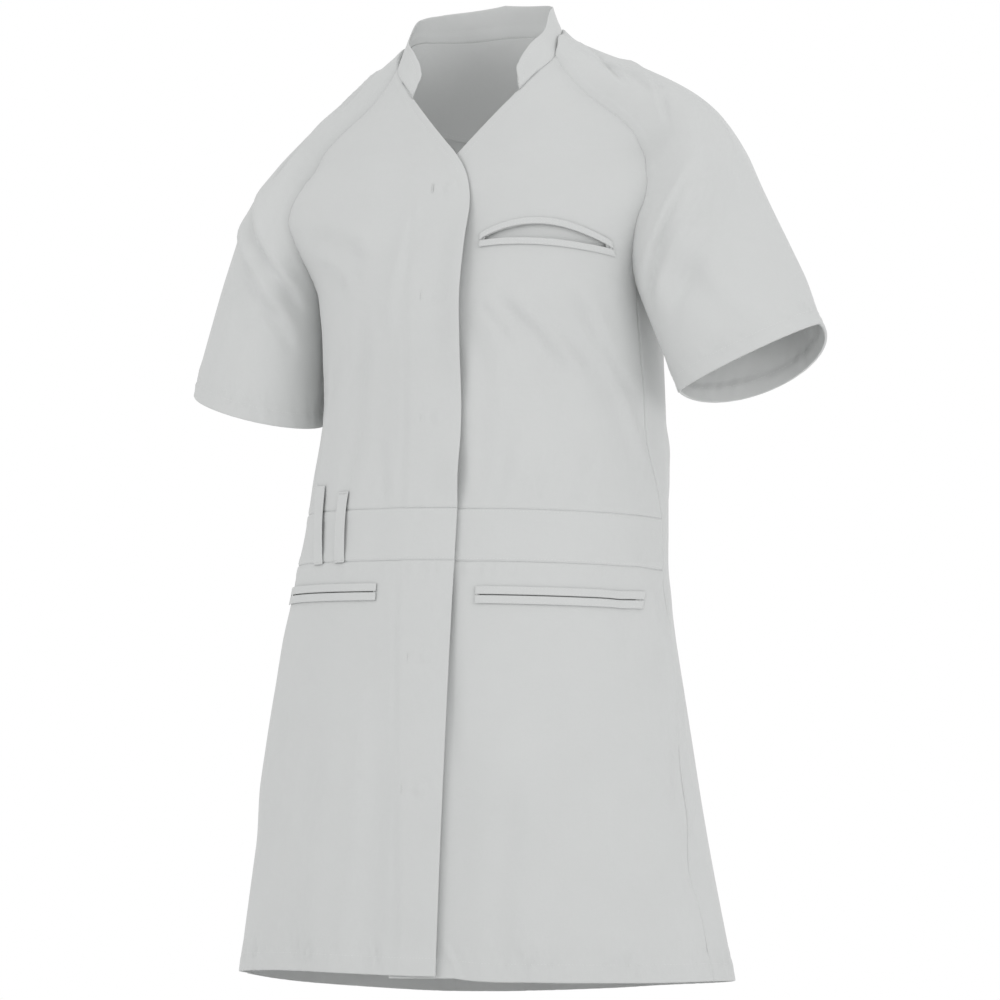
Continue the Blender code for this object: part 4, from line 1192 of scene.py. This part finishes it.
class Signal:
    """A number in a shader: Python arithmetic on it adds Math nodes."""

    def __init__(self, shader, socket):
        self.shader, self.socket = shader, socket

    def math(self, operation, *values):
        return self.shader.node("ShaderNodeMath", {"operation": operation}, dict(enumerate(values)))

    def __add__(self, other):
        return self.math("ADD", self, other)

    def __sub__(self, other):
        return self.math("SUBTRACT", self, other)

    def __rsub__(self, other):
        return self.math("SUBTRACT", other, self)

    def __mul__(self, other):
        return self.math("MULTIPLY", self, other)

    def __truediv__(self, other):
        return self.math("DIVIDE", self, other)

    def __rtruediv__(self, other):
        return self.math("DIVIDE", other, self)

    __radd__, __rmul__ = __add__, __mul__

    def sine(self):
        return self.math("SINE", self)

    def limited(self):
        return self.shader.node("ShaderNodeClamp", values={0: self})


class Shader:
    """A material under construction."""

    def __init__(self, name, **fixed):
        self.material = bpy.data.materials.new(name)
        self.material.use_nodes = True
        self.tree = self.material.node_tree
        self.surface = self.tree.nodes["Principled BSDF"]
        for socket, value in fixed.items():
            self.surface.inputs[socket.replace("_", " ")].default_value = value

    def node(self, kind, choices=None, values=None, out=0):
        """Adds a node with its settings, then its sockets' values or links; gives one of its outputs."""
        made = self.tree.nodes.new(kind)
        for key, value in (choices or {}).items():
            setattr(made, key, value)
        for key, value in (values or {}).items():
            if isinstance(value, Signal):
                self.tree.links.new(value.socket, made.inputs[key])
            else:
                made.inputs[key].default_value = value
        return Signal(self, made.outputs[out])

    def set(self, socket, signal):
        self.tree.links.new(signal.socket, self.surface.inputs[socket])

    def blend(self, share, low, high):
        """A colour between two colours."""
        return self.node("ShaderNodeMix", {"data_type": "RGBA"}, {"Factor": share, 6: low, 7: high}, out=2)

    def noise(self, where, scale, detail=3.0, rough=0.5):
        values = {"Vector": where, "Scale": scale, "Detail": detail, "Roughness": rough}
        return self.node("ShaderNodeTexNoise", values=values)

    def bump(self, height, strength, distance, **more):
        values = {"Height": height, "Strength": strength, "Distance": distance, **more}
        return self.node("ShaderNodeBump", values=values)


def shade(colour, by):
    return (*(min(1.0, c * by) for c in colour[:3]), 1.0)


def woven(name, colour, warmth):
    """Matt twill: diagonal ribs of crossing threads, slubs, faint mottling and a soft bloom."""
    own = settings()
    cloth = Shader(name, Sheen_Weight=0.12, Sheen_Roughness=0.45, Specular_IOR_Level=0.25)
    place = cloth.node("ShaderNodeTexCoord", out="Object")
    flat = cloth.node("ShaderNodeUVMap", {"uv_map": "flat"})
    apart = cloth.node("ShaderNodeSeparateXYZ", values={0: flat})
    u, v = apart, Signal(cloth, apart.socket.node.outputs[1])
    wander = cloth.noise(flat, 260.0, 2.0) * 0.9
    turn = 2 * math.pi / own.weave_pitch
    twill = ((u + v * 0.85) * turn + wander * 3.0).sine() * 0.5 + 0.5
    threads = (u * (turn * 1.9)).sine() * (v * (turn * 1.9)).sine() * 0.5 + 0.5
    slub, cross = (
        cloth.noise(cloth.node("ShaderNodeMapping", values={0: flat, "Scale": (*size, 1.0)}), 1.0, 2.0)
        for size in ((90.0, 900.0), (900.0, 90.0))
    )
    weave = twill * 0.5 + threads * 0.2 + slub * 0.5 + cross * 0.4
    mottle = cloth.noise(place, 14.0, 4.0, 0.6)
    tone = (mottle * 0.55 + weave * 0.3 + cloth.noise(place, 420.0, 2.0) * 0.15).limited()
    cloth.set("Base Color", cloth.blend(tone, shade(colour, 0.95), shade(colour, 1.05 * warmth)))
    cloth.set("Roughness", (mottle * 0.08 + weave * 0.06 + 0.78).limited())
    fine = cloth.bump(weave, 0.32, 0.00022)
    soft = cloth.noise(place, 38.0, 3.0, 0.55)
    cloth.set("Normal", cloth.bump(soft, 0.25, 0.0016, Normal=fine))


def thread(name, colour):
    """Spun polyester: two plies twisted round each other, a little glossier than the cloth."""
    made = Shader(name, Sheen_Weight=0.1, Specular_IOR_Level=0.4)
    place = made.node("ShaderNodeTexCoord", out="Object")
    apart = made.node("ShaderNodeSeparateXYZ", values={0: place})
    y, z = (Signal(made, apart.socket.node.outputs[k]) for k in (1, 2))
    twist = ((apart + y + z) * 9000.0).sine() * 0.5 + 0.5
    made.set("Base Color", made.blend(twist, shade(colour, 0.86), shade(colour, 1.04)))
    made.set("Roughness", twist * 0.15 + 0.5)
    made.set("Normal", made.bump(twist, 0.3, 0.0001))


def plated(name, colour):
    """Plated metal with fine handling marks."""
    made = Shader(name)
    place = made.node("ShaderNodeTexCoord", out="Object")
    marks = made.noise(place, 1400.0, 4.0, 0.7)
    cloudy = made.noise(place, 240.0, 3.0)
    made.set("Metallic", (cloudy * 0.1 + 0.92).limited())
    made.set("Base Color", made.blend(cloudy, shade(colour, 0.9), shade(colour, 1.05)))
    made.set("Roughness", marks * 0.2 + 0.24)
    made.set("Normal", made.bump(marks, 0.15, 0.0001))


# --- Operators


class TunicSettings(bpy.types.PropertyGroup):
    """The sizes and colours that a user would change."""

    cloth_colour: bpy.props.FloatVectorProperty(
        name="Cloth", description="Colour of the twill",
        subtype="COLOR", size=3, min=0, max=1, default=(0.603, 0.613, 0.609),
    )
    thread_colour: bpy.props.FloatVectorProperty(
        name="Thread", description="Colour of the sewing thread",
        subtype="COLOR", size=3, min=0, max=1, default=(0.69, 0.70, 0.695),
    )
    metal_colour: bpy.props.FloatVectorProperty(
        name="Studs", description="Colour of the press studs",
        subtype="COLOR", size=3, min=0, max=1, default=(0.75, 0.76, 0.76),
    )
    cloth_thickness: bpy.props.FloatProperty(
        name="Cloth thickness", description="Thickness of one layer as modelled",
        unit="LENGTH", min=0.0006, max=0.0014, default=0.001,
    )
    grid_step: bpy.props.FloatProperty(
        name="Grid step", description="Distance between the points of a shell",
        unit="LENGTH", min=0.002, max=0.01, default=0.0034,
    )
    crease_strength: bpy.props.FloatProperty(
        name="Creases", description="Strength of the fine creases",
        min=0, max=3, default=2.1,
    )
    stitch_pitch: bpy.props.FloatProperty(
        name="Stitch pitch", description="From one stitch to the next",
        unit="LENGTH", min=0.002, max=0.006, default=0.003,
    )
    stitch_length: bpy.props.FloatProperty(
        name="Stitch length", description="Length of one stitch",
        unit="LENGTH", min=0.001, max=0.005, default=0.0023,
    )
    weave_pitch: bpy.props.FloatProperty(
        name="Weave pitch", description="Distance between two ribs of the twill",
        unit="LENGTH", min=0.0004, max=0.003, default=0.0011,
    )
    key_strength: bpy.props.FloatProperty(
        name="Key light", description="Power of the key light",
        unit="POWER", min=0, max=500, default=23.0,
    )
    room_strength: bpy.props.FloatProperty(
        name="Room light", description="Strength of the light from all round",
        min=0, max=3, default=0.785,
    )
    floor_height: bpy.props.FloatProperty(
        name="Floor", description="Height of the floor",
        unit="LENGTH", min=-2, max=-0.85, default=-0.92,
    )


class TUNIC_OT_materials(bpy.types.Operator):
    """Mixes the cloth, thread and metal"""

    bl_idname = "tunic.materials"
    bl_label = "Materials"

    def execute(self, context):
        own = context.scene.medical_tunic
        woven(MATERIALS["tunic_cloth"], own.cloth_colour, 1.0)
        woven(MATERIALS["trim_cloth"], own.cloth_colour, 1.01)
        thread(MATERIALS["thread"], own.thread_colour)
        plated(MATERIALS["stud_metal"], own.metal_colour)
        return {"FINISHED"}


class TUNIC_OT_fronts(bpy.types.Operator):
    """Cuts and sews the two bodice fronts and the chest pocket"""

    bl_idname = "tunic.fronts"
    bl_label = "Fronts"

    def execute(self, context):
        x, high, low = chest_lines(49)
        bag_x = np.linspace(CHEST["start"] - BAG_MARGIN, CHEST["end"] + BAG_MARGIN / 2, 49)
        parts = pocket("chest_pocket", "left", x, high, low, CHEST_WELT, bag_x, CHEST_BAG_DEPTH, 31)
        left, right = bodice("left"), bodice("right")
        left.build("bodice", mouth_block("chest_mouth", "left", x[2:-2], low[2:-2], high[2:-2]))
        right.build("bodice")
        rows = [left.line("near", 6.5, start=0.6), right.line("far", 6.5, start=0.62)]
        pocket_rows, pocket_tacks = sew_pocket(parts, "chest")
        stitched("bodice_stitching", rows + pocket_rows)
        bar_tacks("placket_bar_tacks", placket_tacks())
        bar_tacks("chest_pocket_bar_tacks", pocket_tacks)
        return {"FINISHED"}


class TUNIC_OT_skirt(bpy.types.Operator):
    """Cuts and sews the waistband, the skirt fronts and the hip pockets"""

    bl_idname = "tunic.skirt"
    bl_label = "Waistband and skirt"

    def execute(self, context):
        rows, tacks = [], []
        for side in ("left", "right"):
            x, high, low = hip_lines(side, 33)
            name = f"hip_pocket_{side}"
            bag_x = np.linspace(HIP[side]["start"] - BAG_MARGIN, HIP[side]["end"], 33)
            parts = pocket(name, side, x, high, low, HIP_WELT, bag_x, HIP_BAG_DEPTH, 41)
            panel, belt = skirt(side), waistband(side)
            panel.build("skirt", mouth_block(f"{name}_mouth", side, x[1:-1], low[1:-1] - 2, high[1:-1] + 2))
            belt.build("waistband")
            pocket_rows, pocket_tacks = sew_pocket(parts, "hip")
            rows += [panel.line("low", HEM - STITCH_IN), belt.line("high", 2.2), belt.line("low", 2.2)]
            rows += pocket_rows
            tacks += pocket_tacks
        stitched("skirt_stitching", rows)
        bar_tacks("hip_pocket_bar_tacks", tacks)
        return {"FINISHED"}


class TUNIC_OT_back(bpy.types.Operator):
    """Cuts and hems the back"""

    bl_idname = "tunic.back"
    bl_label = "Back"

    def execute(self, context):
        piece = back_piece()
        piece.build("back")
        stitched("back_stitching", [piece.line("low", HEM - STITCH_IN), piece.line("high", 5.0, inside=True)])
        return {"FINISHED"}


class TUNIC_OT_sleeves(bpy.types.Operator):
    """Cuts and hems the two raglan sleeves"""

    bl_idname = "tunic.sleeves"
    bl_label = "Sleeves"

    def execute(self, context):
        rows = []
        for side in ("left", "right"):
            piece = sleeve(side)
            piece.build(f"sleeve_{side}")
            rows += [piece.line("low", CUFF_HEM - STITCH_IN), piece.line("low", CUFF_HEM - STITCH_IN, inside=True)]
        stitched("sleeve_stitching", rows)
        return {"FINISHED"}


class TUNIC_OT_collar(bpy.types.Operator):
    """Makes the stand collar and the facing inside the back neck"""

    bl_idname = "tunic.collar"
    bl_label = "Collar"

    def execute(self, context):
        stand, facing = collar_piece(), facing_piece()
        stand.build("collar")
        facing.build("facing")
        rows = [stand.line("high", 5.5), stand.line("low", 2.0), stand.line("low", 2.0, inside=True)]
        stitched("collar_stitching", rows + [facing.line("low", 4.0, inside=True)])
        return {"FINISHED"}


class TUNIC_OT_loops(bpy.types.Operator):
    """Sews the two loops on the waistband"""

    bl_idname = "tunic.loops"
    bl_label = "Waist loops"

    def execute(self, context):
        strips = loop_strips()
        rows, tacks = [], []
        for piece in strips:
            piece.build("loop")
            rows += [piece.line(edge, 2.0) for edge in ("near", "far")]
            face = piece.face()
            for row in (3, -4):
                tacks.append(tack(face[row, 2], face[row, -3], piece.normals[row, 3]))
        stitched("loop_stitching", rows)
        bar_tacks("loop_bar_tacks", tacks)
        return {"FINISHED"}


class TUNIC_OT_studs(bpy.types.Operator):
    """Sets the six press studs between the fronts"""

    bl_idname = "tunic.studs"
    bl_label = "Press studs"

    def execute(self, context):
        for number, height in enumerate(STUD_HEIGHTS, 1):
            stud(number, height)
        return {"FINISHED"}


class TUNIC_OT_studio(bpy.types.Operator):
    """Lays the floor, hangs the lights and sets the camera"""

    bl_idname = "tunic.studio"
    bl_label = "Studio"

    def execute(self, context):
        own, scene = context.scene.medical_tunic, context.scene
        scene.view_settings.view_transform = "Standard"
        floor = round_floor(own.floor_height)
        soft_room(own.room_strength)
        for name, place, size, share, aim in LIGHTS:
            lamp = bpy.data.lights.new(name, "AREA")
            lamp.shape, lamp.size, lamp.energy = "DISK", size, own.key_strength * share
            aimed(name, lamp, place, Vector(aim) - Vector(place), "-Z").visible_camera = False
        camera = bpy.data.cameras.new("camera")
        camera.lens, camera.sensor_width = CAMERA_LENS, 36.0
        camera.clip_start, camera.clip_end = 0.1, 100
        azimuth, elevation = math.radians(CAMERA_ROUND), math.radians(CAMERA_UP)
        flat = math.cos(elevation)
        right = Vector((math.cos(azimuth), math.sin(azimuth), 0))
        back = Vector((math.sin(azimuth) * flat, -math.cos(azimuth) * flat, math.sin(elevation)))
        place = Vector((0, 0, AIM_HEIGHT)) + right * AIM_ASIDE + back * CAMERA_AWAY
        scene.camera = aimed("camera", camera, place, back, "Z")
        return {"FINISHED"}


def aimed(name, data, place, way, axis):
    """Hangs a lamp or a camera at a place, with one of its axes turned along a way."""
    thing = bpy.data.objects.new(name, data)
    thing.location = place
    thing.rotation_mode = "QUATERNION"
    thing.rotation_quaternion = way.to_track_quat(axis, "Y")
    bpy.context.scene.collection.objects.link(thing)
    return thing


def soft_room(strength):
    """White light from all round, whose backdrop the camera sees as plain white."""
    world = bpy.data.worlds.new("soft_room")
    bpy.context.scene.world = world
    world.use_nodes = True
    tree = world.node_tree
    room, white = tree.nodes["Background"], tree.nodes.new("ShaderNodeBackground")
    for node, power in ((room, strength), (white, 1.0)):
        node.inputs["Color"].default_value = (1, 1, 1, 1)
        node.inputs["Strength"].default_value = power
    path, mix = tree.nodes.new("ShaderNodeLightPath"), tree.nodes.new("ShaderNodeMixShader")
    for socket, output in zip(mix.inputs, (path.outputs["Is Camera Ray"], room.outputs[0], white.outputs[0])):
        tree.links.new(output, socket)
    tree.links.new(mix.outputs[0], tree.nodes["World Output"].inputs[0])


def round_floor(height):
    """A pale round floor that thins out towards its rim."""
    mesh = bmesh.new()
    bmesh.ops.create_circle(mesh, cap_ends=True, segments=96, radius=FLOOR_RADIUS)
    floor = placed(mesh, "floor", soft=False)
    floor.location.z = height
    pale = Shader("pale_floor", Roughness=0.9)
    place = pale.node("ShaderNodeTexCoord", out="Object")
    far = pale.node("ShaderNodeVectorMath", {"operation": "LENGTH"}, {0: place}, out="Value")
    pale.set("Base Color", pale.blend(pale.noise(place, 3.0), (0.86, 0.86, 0.86, 1), (0.88, 0.88, 0.88, 1)))
    pale.set("Alpha", ((FLOOR_RADIUS - far) / FLOOR_RIM).limited())
    floor.data.materials.append(pale.material)
    return floor


OPERATORS = (
    TUNIC_OT_materials,
    TUNIC_OT_back,
    TUNIC_OT_fronts,
    TUNIC_OT_skirt,
    TUNIC_OT_sleeves,
    TUNIC_OT_collar,
    TUNIC_OT_loops,
    TUNIC_OT_studs,
    TUNIC_OT_studio,
)


class TUNIC_PT_panel(bpy.types.Panel):
    """Lists the tunic's settings and the steps that make it"""

    bl_idname = "TUNIC_PT_panel"
    bl_label = "Medical Tunic"
    bl_space_type = "VIEW_3D"
    bl_region_type = "UI"
    bl_category = "Tunic"

    def draw(self, context):
        own = context.scene.medical_tunic
        for name in TunicSettings.__annotations__:
            self.layout.prop(own, name)
        for operator in OPERATORS:
            self.layout.operator(operator.bl_idname)


def register():
    for made in (TunicSettings, *OPERATORS, TUNIC_PT_panel):
        bpy.utils.register_class(made)
    bpy.types.Scene.medical_tunic = bpy.props.PointerProperty(type=TunicSettings)


def unregister():
    del bpy.types.Scene.medical_tunic
    for made in (TUNIC_PT_panel, *reversed(OPERATORS), TunicSettings):
        bpy.utils.unregister_class(made)


def main():
    register()
    for operator in OPERATORS:
        group, name = operator.bl_idname.split(".")
        getattr(getattr(bpy.ops, group), name)()


if __name__ == "__main__":
    main()
